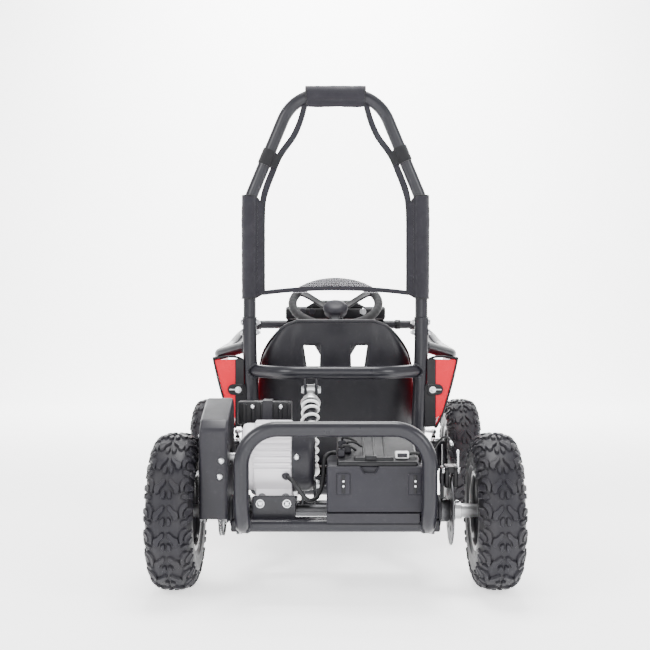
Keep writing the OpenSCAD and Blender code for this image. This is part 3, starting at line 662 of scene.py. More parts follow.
@dataclass(frozen=True)
class Finish:
    """One surface finish, as a procedural material.

    The colour rolls between a darker and a lighter shade over hand-sized blots,
    with paler scuffs where fine noise is highest and dust where coarse noise is.
    Gloss is how strongly it mirrors, cover how opaque it is, and glow the light that it
    gives by itself.
    """

    name: str
    colour: tuple[float, float, float]
    roughness: float
    grain: Grain = Grain.SMOOTH
    metallic: float = 0.0
    uneven: float = 0.10
    scuff: float = 0.12
    dust: float = 0.0
    coat: float = 0.0
    sheen: float = 0.0
    gloss: float = 0.24
    cover: float = 1.0
    glow: float = 0.0
    follows_surface: bool = False

    def shade(self, scale: float) -> tuple[float, float, float, float]:
        """The base colour times scale."""
        r, g, b = (min(1.0, c * scale) for c in self.colour)
        return r, g, b, 1.0

    @lru_cache(maxsize=None)
    def material(self) -> bpy.types.Material:
        """Builds the material once, and gives the same one after that."""
        net = Net(self.name)
        coords = net.node("TexCoord")
        where = coords.outputs["Object"]
        surface = where
        if self.follows_surface:
            surface = net.node("UVMap", uv_map="pattern").outputs["UV"]
        blots = net.remap(net.noise(where, 130, 4), 0.3, 0.7, 0, 1)
        colour = net.blend(blots, self.shade(1 - self.uneven), self.shade(1 + self.uneven))
        scuffs = net.remap(net.noise(where, 9, 8), 0.58, 0.80, 0, self.scuff)
        pale = tuple(min(1.0, 0.06 + 1.8 * c) for c in self.colour) + (1.0,)
        colour = net.blend(scuffs, colour, pale)
        if self.dust:
            film = net.remap(net.noise(where, 55, 6), 0.42, 0.72, 0, self.dust)
            colour = net.blend(film, colour, (0.33, 0.31, 0.28, 1))
        rough = net.remap(net.noise(where, 34, 5), 0.3, 0.7, self.roughness - 0.06,
                          self.roughness + 0.08)
        # Cloth's colour comes back with painted shade in the weave's hollows.
        height, colour = self.surface_height(net, surface, colour)
        _, depth, strength = DIMPLES[self.grain]
        bump = net.node("Bump", {"Height": height, "Strength": strength, "Distance": depth * MM})
        wires = {
            "Base Color": colour, "Roughness": rough, "Normal": bump.outputs["Normal"],
            "Metallic": self.metallic, "Coat Weight": self.coat, "Coat Roughness": 0.12,
            "Specular IOR Level": self.gloss, "Alpha": self.cover,
            "Emission Color": (1.0, 1.0, 1.0, 1.0), "Emission Strength": self.glow,
            "Sheen Weight": self.sheen, "Sheen Roughness": 0.45,
        }
        shader = net.node("BsdfPrincipled", wires)
        net.node("OutputMaterial", {"Surface": shader.outputs["BSDF"]})
        return net.material

    def surface_height(self, net: Net, surface: bpy.types.NodeSocket,
                       colour: bpy.types.NodeSocket) -> tuple[bpy.types.NodeSocket,
                                                              bpy.types.NodeSocket]:
        """The grain's height, and the colour with painted shade in the weave's hollows.

        Cloth is two sets of threads at right angles; the higher of the two is on
        top, and the hollows between the threads get painted shade. Metal that was
        plated has flat crystals, the lower ones a little darker in tone. The rest is
        rounded noise and leaves the colour as it is.

        Args:
            net: The material's nodes.
            surface: Coordinates in metres.
            colour: Colour so far.

        Returns:
            Height between 0 and 1, and the colour.
        """
        size, _, _ = DIMPLES[self.grain]
        if self.grain is Grain.WOVEN:
            scale = 2 * math.pi / (20 * size * MM)
            threads = [net.node("TexWave", {"Vector": surface, "Scale": scale, "Distortion": 0.4},
                                bands_direction=way).outputs["Fac"] for way in ("X", "Y")]
            height = net.node("Math", {0: threads[0], 1: threads[1]}, operation="MULTIPLY").outputs[0]
            # Painted shade: where the threads are low, the colour is pulled towards 0.35 of itself.
            return height, net.blend(net.remap(height, 0, 0.6, 0.45, 0), colour, self.shade(0.35))
        if self.grain is Grain.PLATED:
            cells = net.node("TexVoronoi", {"Vector": surface, "Scale": 1 / (size * MM)})
            height = net.node("RGBToBW", {"Color": cells.outputs["Color"]}).outputs["Val"]
            return height, net.blend(net.remap(height, 0.2, 0.8, 0.16, 0), colour, self.shade(0.7))
        return net.noise(surface, size, 2), colour


TUBE_PAINT = Finish("tube_paint", (0.0100, 0.0098, 0.0135), 0.33, Grain.POWDER, coat=0.16, uneven=0.07,
                    scuff=0.10)
SHEET_PAINT = Finish("sheet_paint", (0.0125, 0.0120, 0.0160), 0.38, Grain.POWDER, coat=0.05, scuff=0.14)
WELD = Finish("painted_weld", (0.020, 0.020, 0.024), 0.42, Grain.CAST, scuff=0.05)
RED_PLASTIC = Finish("red_plastic", (0.56, 0.0, 0.016), 0.28, Grain.SMOOTH, gloss=0.16, uneven=0.05,
                     scuff=0.03)
SEAT_PLASTIC = Finish("seat_plastic", (0.0078, 0.0074, 0.0105), 0.40, Grain.MOULDED, scuff=0.10,
                      gloss=0.36)
CASE_PLASTIC = Finish("case_plastic", (0.0120, 0.0115, 0.0160), 0.44, Grain.MOULDED, scuff=0.08)
BLACK_TRIM = Finish("black_trim", (0.0045, 0.0045, 0.006), 0.36, Grain.MOULDED, scuff=0.06)
GRIP_FOAM = Finish("grip_cover", (0.013, 0.013, 0.014), 0.62, Grain.RUBBER, scuff=0.10)
# CANVAS and WEBBING are woven, so their colour gets painted shade between the threads.
CANVAS = Finish("canvas", (0.0135, 0.0125, 0.0180), 0.74, Grain.WOVEN, uneven=0.14, scuff=0.10,
                sheen=0.25,
                follows_surface=True)
WEBBING = Finish("webbing", (0.007, 0.007, 0.009), 0.70, Grain.WOVEN, sheen=0.2, follows_surface=True)
NET_YARN = Finish("net_yarn", (0.84, 0.83, 0.88), 0.65, Grain.SMOOTH, scuff=0.0, uneven=0.04, sheen=0.2,
                  cover=0.11)
TYRE_RUBBER = Finish("tyre_rubber", (0.0100, 0.0095, 0.0130), 0.50, Grain.RUBBER, dust=0.03, scuff=0.04)
TYRE_WALL = Finish("tyre_sidewall", (0.0045, 0.0042, 0.006), 0.46, Grain.RUBBER, dust=0.02, scuff=0.03)
RIM_PAINT = Finish("rim_paint", (0.010, 0.010, 0.012), 0.30, Grain.POWDER, coat=0.4)
ZINC = Finish("zinc_plate", (0.66, 0.67, 0.69), 0.28, Grain.PLATED, metallic=1.0, uneven=0.08,
              scuff=0.1)
STEEL = Finish("bare_steel", (0.50, 0.50, 0.51), 0.34, Grain.PLATED, metallic=1.0, uneven=0.12,
               scuff=0.1)
DARK_STEEL = Finish("dark_steel", (0.10, 0.10, 0.105), 0.42, Grain.PLATED, metallic=0.9, uneven=0.15)
ALUMINIUM = Finish("cast_aluminium", (0.72, 0.72, 0.73), 0.38, Grain.CAST, metallic=0.85, uneven=0.06,
                   scuff=0.06)
MOTOR_SILVER = Finish("motor_silver", (0.66, 0.64, 0.67), 0.40, Grain.CAST, metallic=0.35, uneven=0.04,
                      scuff=0.04)
SPRING_WHITE = Finish("spring_white", (0.90, 0.90, 0.91), 0.28, Grain.POWDER, coat=0.5, uneven=0.03,
                      scuff=0.04)
CABLE_SKIN = Finish("cable_skin", (0.013, 0.013, 0.014), 0.45, Grain.SMOOTH, scuff=0.05,
                    follows_surface=True)
CLEAR_LENS = Finish("dial_face", (0.030, 0.032, 0.036), 0.08, Grain.SMOOTH, coat=0.6, scuff=0.0)
FLOOR_PAPER = Finish("floor_paper", (0.95, 0.95, 0.95), 0.85, Grain.SMOOTH, uneven=0.01, scuff=0.0,
                     glow=1.3)


def dressed(*finishes: Finish) -> list[bpy.types.Material]:
    """The finishes' materials, in order."""
    return [f.material() for f in finishes]


def tube(part: Part, corners: Array, d: float, bend: float = 60.0, sides: int = 28,
         finish: int = 0) -> None:
    """A round tube of diameter d along corners bent to radius bend."""
    part.sweep(rounded_path(corners, bend), d / 2, sides, finish=finish)


def rod(part: Part, a: Array, b: Array, d: float, sides: int = 24, finish: int = 0) -> None:
    """A straight round bar from a to b with a small chamfer at both ends."""
    a, b = np.asarray(a, float), np.asarray(b, float)
    length = float(np.linalg.norm(b - a))
    r, c = d / 2, min(0.8, d / 10, length / 4)
    part.turn([(0, 0), (r - c, 0), (r, c), (r, length - c), (r - c, length), (0, length)], a, b - a,
              sides, finish)


# ------------------------------------------------------------------ main frame

@dataclass
class MainFrame:
    """The welded tube frame, its roll hoop, and the bars, bolts and pan on it."""

    rail_d: float = 28.0
    rail_z: float = 150.0
    rail_x: float = 195.0
    nose_x: float = 130.0
    post_d: float = 35.0
    hoop_d: float = 31.0
    hoop_x: float = 215.0
    post_y: float = -120.0
    knee_z: float = 868.0
    top_z: float = 1133.0
    slope_x: float = 110.5
    dash: tuple[float, float] = (460.0, 550.0)
    pivot: tuple[float, float] = (125.0, -185.0)
    beam: tuple[float, float] = (380.0, 165.0)
    kingpin_x: float = 298.0
    seat_bars: tuple[float, ...] = (0.0, 150.0)
    bolt_z: tuple[float, ...] = (537.0, 562.0)

    def hoop_path(self) -> Array:
        """The roll hoop's middle, from one leg's foot over the top to the other's."""
        half = [(self.hoop_x, self.post_y, 505), (self.hoop_x, self.post_y, self.knee_z),
                (self.hoop_x - self.slope_x, self.post_y, self.top_z)]
        return rounded_path(mirrored(half), 106, 16)

    def lower(self) -> None:
        """Rails, cross members, the front beam and the lugs."""
        p, z = Part(), self.rail_z
        rail = [(self.rail_x, -165, z), (self.rail_x, 180, z), (self.nose_x, 330, z),
                (self.nose_x, 600, z)]
        tube(p, rail, self.rail_d, 90)
        weld_bead(p, vec(self.rail_x, -152, z), -RIGHT, AHEAD, 12.5, 14, 3, 1)
        weld_bead(p, vec(self.nose_x, 545, z), -RIGHT, AHEAD, 12.5, 14, 3, 1)
        y, bz = self.beam
        weld_bead(p, vec(self.kingpin_x, y, bz), -RIGHT, UP, 16, 18, 3.5, 1)
        p.turn([(13, 133), (17.2, 133), (18, 134), (18, 196), (17.2, 197), (12.2, 197), (12.2, 133)],
               vec(self.kingpin_x, y, 0), UP, 36)
        px, py = self.pivot
        lug = rounded([(py - 15, z - 15), (-150, z - 15), (-150, z + 12), (py - 15, z + 12)],
                      [13, 2, 2, 13])
        for x in (px - 23, px + 17):
            p.plate(lug, x, x + 6, SIDE_VIEW, [circle(6.1, py, z)])
        ear = rounded([(545, z), (590, z), (590, 196), (545, 175)], [3, 3, 13, 8])
        for x in (30, 104):
            p.plate(ear, x, x + 6, SIDE_VIEW)
        rod(p, (30, 575, 182), (110, 575, 182), 9.9)
        for bar in self.seat_bars:
            p.box(vec(90, bar - 15, 158), vec(120, bar + 15, 184), 3)
            weld_bead(p, vec(self.rail_x, bar, z), -RIGHT, AHEAD, 11, 14, 2.5, 1)
        p.both()
        rod(p, (-self.rail_x, -152, z), (self.rail_x, -152, z), 25)
        rod(p, (-self.nose_x, 545, z), (self.nose_x, 545, z), 25)
        beam_end = self.kingpin_x - 14
        rod(p, (-beam_end, y, bz), (beam_end, y, bz), 32)
        for bar in self.seat_bars:
            p.box(vec(-self.rail_x, bar - 15, 134), vec(self.rail_x, bar + 15, 160), 4)
        p.box(vec(-26, 505, z), vec(26, 560, 194), 4)
        p.make("lower_frame_tubes", Body.CHASSIS, "frame_paint", dressed(TUBE_PAINT, WELD),
               ("lower_frame",))

    def posts(self) -> None:
        """The two lower posts, each with a rolled lip where the hoop goes in."""
        p, half = Part(), [(201.5, self.post_y, self.rail_z), (self.hoop_x, self.post_y, 500),
                           (self.hoop_x, self.post_y, 575)]
        tube(p, half, self.post_d, 200, 32)
        lip = self.post_d / 2
        ring = circle(lip - 0.2, steps=40)
        p.sweep(np.column_stack([ring + vec(self.hoop_x, self.post_y), np.full(40, 573.5)]), 1.6,
                8, True)
        weld_bead(p, vec(201.5, self.post_y, self.rail_z), vec(0.04, 0, 1), AHEAD, lip, 14, 3.5, 1)
        p.both().make("frame_posts", Body.CHASSIS, "frame_paint", dressed(TUBE_PAINT, WELD), ("posts",))

    def hoop(self) -> None:
        """The roll hoop, one bent tube."""
        Part().sweep(self.hoop_path(), self.hoop_d / 2, 36).make(
            "roll_hoop_tube", Body.CHASSIS, "frame_paint", dressed(TUBE_PAINT), ("roll_hoop",))

    def cross_tube(self) -> None:
        """The bowed tube behind the seat, and the plates that hold the shock's upper eye."""
        half = [(self.hoop_x - 6, self.post_y, 440), (125, self.post_y - 80, 440)]
        p = Part()
        weld_bead(p, vec(self.hoop_x - 2, self.post_y - 3, 440), vec(-0.74, -0.67, 0), UP, 16,
                  17.5, 3.5, 1)
        p.both()
        p.sweep(rounded_path(mirrored(half), 100), 16, 32)
        cheek = rounded([(-208, 378), (-172, 378), (-172, 436), (-208, 436)], [17, 17, 3, 3])
        for x in (-76.5, -49):
            p.plate(cheek, x, x + 5.5, SIDE_VIEW, [circle(5.1, -190, 398)])
            edge = [(x + 2.7, -207, 430), (x + 2.7, -204, 427), (x + 2.7, -176, 427),
                    (x + 2.7, -173, 430)]
            p.sweep(rounded_path(edge, 3, 4), 3.2, 8, finish=1)
        p.make("rear_cross_bar", Body.CHASSIS, "frame_paint", dressed(TUBE_PAINT, WELD),
               ("rear_cross_tube",))

    def side_bars(self) -> None:
        """The bars that run round the driver's sides to the dash tube."""
        y, z = self.dash
        half = [(self.hoop_x - 2, self.post_y, 504), (302, -5, 478), (302, 330, 488), (284, 440, 518),
                (238, y, z)]
        p = Part().sweep(rounded_path(half, [46, 60, 60, 30]), 15, 28)
        weld_bead(p, vec(self.hoop_x, self.post_y, 503.5), unit(vec(89, 115, -26)), UP, 15,
                  17.5, 3.4, 1)
        weld_bead(p, vec(238, y, z), unit(vec(46, -20, -32)), RIGHT, 15, 12.5, 3, 1)
        p.both().make("side_bar_tubes", Body.CHASSIS, "frame_paint", dressed(TUBE_PAINT, WELD),
                      ("side_bars",))

    def tower(self) -> None:
        """The dash tube on its two uprights, and the strut to the upper column bush."""
        p, (y, z) = Part(), self.dash
        rod(p, (self.nose_x, 585, self.rail_z), (150, y, z), 25)
        weld_bead(p, vec(150, y, z), unit(vec(-20, 125, -400)), RIGHT, 12.5, 12.5, 3, 1)
        weld_bead(p, vec(self.nose_x, 585, self.rail_z), unit(vec(20, -125, 400)), AHEAD, 12.5,
                  14, 3, 1)
        p.both()
        rod(p, (-250, y, z), (250, y, z), 25)
        p.turn([(11.6, -8), (14, -8), (14.6, -7), (14.6, 7), (14, 8), (11.6, 8)], vec(189, y, z),
               RIGHT, 28, 2,
               True)
        bush = Column().at(430)
        for s in (-1, 1):
            rod(p, (s * 92, y, z), bush + vec(s * 16, 0, 0), 20)
            weld_bead(p, vec(s * 92, y, z), unit(bush + vec(s * 16, 0, 0) - vec(s * 92, y, z)), RIGHT,
                      10, 12.5,
                      2.6, 1)
        p.make("dash_frame", Body.CHASSIS, "frame_paint", dressed(TUBE_PAINT, WELD, BLACK_TRIM),
               ("front_tower",))

    def front_bumper(self) -> None:
        """The front hoop, with the joints where it slides on the rails."""
        path = mirrored([(self.nose_x, 600, self.rail_z), (self.nose_x, 671, self.rail_z),
                         (150, 671, 340)])
        p = Part().sweep(rounded_path(path, 45), 14, 28)
        for s in (-1, 1):
            p.turn([(14, 0), (16.5, 0.5), (16.5, 15), (14, 16)], vec(s * self.nose_x, 592, self.rail_z),
                   AHEAD, 32)
        p.make("front_hoop", Body.CHASSIS, "frame_paint", dressed(TUBE_PAINT), ("front_bumper",))

    def floor(self) -> None:
        """The floor pan: a sheet with lightening holes, raised beads and screws on the rails."""
        half = [(self.rail_x + 5, -130), (self.rail_x + 5, 170), (self.nose_x + 5, 322),
                (self.nose_x + 5, 590)]
        outline = rounded(half + [(-x, y) for x, y in reversed(half)], 12)
        holes = [circle(9, x, y, 24) for x in (-60, 60) for y in (230, 330, 430)]
        p = Part().plate(outline, 131.5, 134, TOP_VIEW, holes, 0.5)
        for x in (-90, -30, 30, 90):
            p.box(vec(x - 7, -105, 133), vec(x + 7, -25, 136.5), 2.5)
            p.box(vec(x - 5, 255, 133), vec(x + 5, 520, 136.5), 2.5)
        for x, y in [(s * 170, y) for s in (-1, 1) for y in (-90, 60)] + [(s * 112, 500)
                                                                          for s in (-1, 1)]:
            button_head(p, vec(x, y, 134), UP, 13, 1)
        p.make("floor_sheet", Body.CHASSIS, "dark_sheet", dressed(SHEET_PAINT, ZINC), ("floor_pan",))

    def bolts(self) -> None:
        """Bolts through hoop and posts, the fairings' bolts, and the cradle's pivot bolts."""
        p, r = Part(), self.post_d / 2
        for z in self.bolt_z:
            through_bolt(p, vec(self.hoop_x + r, self.post_y, z),
                         vec(self.hoop_x - r, self.post_y, z), 8)
            rod(p, (self.hoop_x - r - 10, self.post_y, z), (self.hoop_x - r - 4, self.post_y, z), 8, 16)
        p.turn([(0, 0), (8, 0), (8, 1.6), (0, 1.6)], vec(242, -137.5, 394), -AHEAD, 32)
        button_head(p, vec(242, -139, 394), -AHEAD, 12)
        p.both().make("frame_bolt_set", Body.CHASSIS, "zinc", dressed(ZINC), ("frame_bolts",))
        x, y = self.pivot
        q = Part()
        through_bolt(q, vec(x + 23, y, self.rail_z), vec(x - 23, y, self.rail_z), 12)
        q.both().make("pivot_bolt_set", Body.CHASSIS, "zinc", dressed(ZINC), ("cradle_pivot_bolts",))

    def build(self) -> None:
        """Builds every piece of the frame."""
        for step in (self.lower, self.posts, self.hoop, self.cross_tube, self.side_bars, self.tower,
                     self.front_bumper, self.floor, self.bolts):
            step()


# ------------------------------------------------------------------ steering

@dataclass(frozen=True)
class Column:
    """The steering column's line, from the wheel's middle down and forward."""

    wheel: tuple[float, float, float] = (0.0, 276.0, 614.0)
    lean: float = math.radians(31)

    @property
    def down(self) -> Array:
        """Direction down the column."""
        return vec(0, math.sin(self.lean), -math.cos(self.lean))

    @property
    def ahead(self) -> Array:
        """Direction in the wheel's plane, forward and up."""
        return vec(0, math.cos(self.lean), math.sin(self.lean))

    def at(self, z: float) -> Array:
        """The point of the column at height z."""
        return np.array(self.wheel) + self.down * (self.wheel[2] - z) / math.cos(self.lean)


@dataclass
class Steering:
    """Wheel, column, pitman plate, tie rods, knuckles and kingpins."""

    line: Column = field(default_factory=Column)
    wheel_d: float = 272.0
    dish: float = 22.0
    grip_d: float = 25.0
    column_d: float = 20.0
    kingpin_x: float = 298.0
    front_y: float = 380.0
    hub_z: float = 165.0
    stub_d: float = 17.0
    wheel_x: float = 370.0
    arm_eye: tuple[float, float, float] = (298.0, 455.0, 224.0)
    ball_r: float = 9.0

    @property
    def ring_r(self) -> float:
        """Radius of the middle of the wheel's rim."""
        return (self.wheel_d - self.grip_d) / 2

    def grip(self) -> None:
        """The rim: a ring whose thickness swells between finger hollows on its far side."""
        c, a, q = np.array(self.line.wheel), self.line.down, self.line.ahead
        t = np.linspace(0, 2 * np.pi, 180, endpoint=False)[:, None]
        path = c + self.ring_r * (RIGHT * np.cos(t) + q * np.sin(t))
        r = self.grip_d / 2 - 0.35 + 0.3 * np.cos(44 * t[:, 0]) * (np.abs(np.cos(t[:, 0])) > 0.35)
        p = Part().sweep(path, r, 24, True)
        for k in (math.pi / 2 - 0.96, math.pi / 2 + 0.96, -math.pi / 2):
            side = RIGHT * math.cos(k) + q * math.sin(k)
            along = np.cross(side, a)
            p.turn([(12.4, -9), (13.1, -8), (13.1, 8), (12.4, 9)], c + self.ring_r * side, along, 24, 1)
        p.make("wheel_rim_cover", Body.STEERING, "rubber_grip", dressed(GRIP_FOAM, BLACK_TRIM),
               ("steering_grip",))

    def hub(self) -> None:
        """The hub with its round pad, and three spokes that dish down from rim to hub."""
        c, a, q = np.array(self.line.wheel), self.line.down, self.line.ahead
        p = Part()
        cap = [(0, -21), (12, -20.6), (22, -18.8), (30, -15), (35, -9.5), (36, -6), (36, -2), (33, 0),
               (33, 10),
               (30, 12), (0, 12)]
        p.turn(cap, c + a * self.dish, a, 48, 1)
        for k in (math.pi / 2 - 1.04, math.pi / 2 + 1.04, -math.pi / 2):
            side = RIGHT * math.cos(k) + q * math.sin(k)
            s = np.linspace(0, 1, 12)[:, None]
            path = c + side * (20 + (self.ring_r - 22) * s) + a * (self.dish
                                                                   * (0.5 + 0.5 * np.cos(np.pi * s)))
            self.spoke(p, path, np.cross(a, side), a)
        p.make("wheel_hub", Body.STEERING, "black_plastic", dressed(BLACK_TRIM, CASE_PLASTIC, ZINC),
               ("steering_hub",))

    @staticmethod
    def spoke(p: Part, path: Array, wide: Array, deep: Array) -> None:
        """A flat spoke: a 28 by 8 rounded section, waisted at mid-length, along path."""
        t = np.linspace(0, 2 * np.pi, 24, endpoint=False)
        sx = np.sign(np.cos(t)) * np.abs(np.cos(t)) ** 0.5
        sy = np.sign(np.sin(t)) * np.abs(np.sin(t)) ** 0.5
        s = np.linspace(-1, 1, len(path))[:, None, None]
        half = 15 - 4 * (1 - s**2)
        pts = path[:, None] + half * sx[None, :, None] * wide + 4 * sy[None, :, None] * deep
        out = np.cross(pts[1, 0] - pts[0, 0], pts[0, 1] - pts[0, 0]) @ (pts[0, 0] - path[0])
        p.grid(pts if out > 0 else pts[:, ::-1], False, True)
        p.disc(pts[0], path[0] - path[1]).disc(pts[-1], path[-1] - path[-2])

    def column(self) -> None:
        """The column with its pitman plate and the flange under the wheel."""
        c, a, q = np.array(self.line.wheel), self.line.down, self.line.ahead
        p = Part()
        low = self.line.at(178)
        rod(p, c + a * 34, low, self.column_d, 28)
        p.turn([(0, 32), (26, 32), (28, 33), (28, 37), (27, 38), (10, 38), (10, 50), (0, 50)], c, a, 40)
        pitman = self.line.at(215)
        place = Place(tuple(pitman), tuple(q), tuple(np.cross(a, q)))
        plate = rounded([(-18, -14), (57, -14), (57, 14), (-18, 14)], [13, 11, 11, 13])
        p.plate(plate, -3, 3, place, [circle(4, 45, 0, 20)])
        weld_bead(p, pitman, a, q, 10, 3, 2.4, 1)
        p.turn([(10, -14), (14, -13), (14, 13), (10, 14)], pitman - a * 12, a, 36)
        p.make("steering_shaft", Body.STEERING, "frame_paint", dressed(SHEET_PAINT, WELD),
               ("steering_column",))

    def bushes(self) -> None:
        """The two split bushes that the column turns in, each with a clamp screw."""
        p, a = Part(), self.line.down
        shell = [(10.2, -14), (16.5, -14), (18, -12.5), (18, -5), (17, -4), (17, 4), (18, 5),
                 (18, 12.5),
                 (16.5, 14), (10.2, 14)]
        for z in (430, 190):
            at = self.line.at(z)
            p.turn(shell, at, a, 40, 0, True)
            hex_head(p, at + vec(17.2, 0, 0), RIGHT, 7, 3, 0, 1)
            hex_head(p, at - vec(17.2, 0, 0), -RIGHT, 7, 3, 0, 1)
        p.make("column_bearings", Body.CHASSIS, "black_plastic", dressed(BLACK_TRIM, ZINC),
               ("column_bushes",))

    def knuckle(self, right: bool) -> None:
        """One steering knuckle: yoke, back plate, arm with its eye, stub axle and nut."""
        x, y, z = self.kingpin_x, self.front_y, self.hub_z
        p = Part()
        yoke = rounded(slab(x - 16, x + 27, y - 16, y + 16), [15, 3, 3, 15])
        for low in (124.5, 197.5):
            p.plate(yoke, low, low + 8, TOP_VIEW, [circle(6.1, x, y, 24)])
        p.box(vec(x + 19, y - 16, 130), vec(x + 27, y + 16, 200), 2)
        ex, ey, _ = self.arm_eye
        arm = rounded([(x - 9, y + 8), (x + 9, y + 8), (x + 9, ey + 9), (x - 9, ey + 9)],
                      [2, 2, 8.9, 8.9])
        p.plate(arm, 197.5, 205.5, TOP_VIEW, [circle(5, ex, ey, 20)])
        end = self.wheel_x + 50
        r = self.stub_d / 2
        stub = [(0, 0), (15, 0), (15, self.wheel_x - 30.5 - x - 27), (r, self.wheel_x - 29 - x - 27),
                (r, end - 3 - x - 27), (r - 1.5, end - x - 27), (0, end - x - 27)]
        p.turn(stub, vec(x + 27, y, z), RIGHT, 32, 1)
        hex_head(p, vec(self.wheel_x + 46, y, z), RIGHT, 24, 8, 29, 2)
        p.turn([(15, 0), (17.5, 1), (15, 5)], vec(x + 27, y, z), RIGHT, 32)
        side = "right" if right else "left"
        (p if right else p.mirrored()).make(
            f"knuckle_{side}_forging", Body.KNUCKLE_R if right else Body.KNUCKLE_L, "frame_paint",
            dressed(SHEET_PAINT, STEEL, ZINC), (f"knuckle_{side}",))
        q = Part()
        rod(q, (x, y, 124.5), (x, y, 205.5), 12)
        hex_head(q, vec(x, y, 205.5), UP, 18, 7.5, 21)
        hex_head(q, vec(x, y, 124.5), -UP, 18, 7.5, 21)
        (q if right else q.mirrored()).make(
            f"kingpin_{side}_bolt", Body.KNUCKLE_R if right else Body.KNUCKLE_L, "zinc", dressed(ZINC),
            (f"kingpin_{side}",))

    def tie_rod(self, right: bool) -> None:
        """A tie rod: threaded ends, lock nuts, ball housings, and the stud at the knuckle."""
        eye = self.line.at(215) + 45 * self.line.ahead
        inner = eye - self.line.down * 13.5
        outer = np.array(self.arm_eye)
        if not right:
            inner, outer = inner - self.line.down * 20.5, flip(outer)
        w = unit(inner - outer)
        p = Part()
        rod(p, outer + w * 12, inner - w * 12, 11, 20)
        ball = [(self.ball_r * math.cos(t), self.ball_r * math.sin(t))
                for t in np.linspace(-1.57, 1.57, 13)]
        for at, way in ((outer, w), (inner, -w)):
            p.turn(ball, at, UP, 24, 1)
            p.turn([(0, 4), (6.2, 5), (6.2, 24), (5.5, 25), (0, 25)], at, way, 20, 1)
            hex_head(p, at + way * 25, way, 12, 5, 0, 1)
        rod(p, outer * vec(1, 1, 0) + vec(0, 0, 205.8), outer, 9.5, 16, 1)
        p.turn([(5, 0), (7.5, 0.5), (6, 7), (5, 7)], outer * vec(1, 1, 0) + vec(0, 0, 206.2), UP, 20, 2)
        side = "right" if right else "left"
        p.make(f"tie_rod_{side}_assembly", Body.TIE_R if right else Body.TIE_L, "zinc",
               dressed(STEEL, ZINC, BLACK_TRIM), (f"tie_rod_{side}",))

    def build(self) -> None:
        """Builds every piece of the steering."""
        for step in (self.grip, self.hub, self.column, self.bushes):
            step()
        for right in (True, False):
            self.knuckle(right)
            self.tie_rod(right)


# ------------------------------------------------------------------ wheels

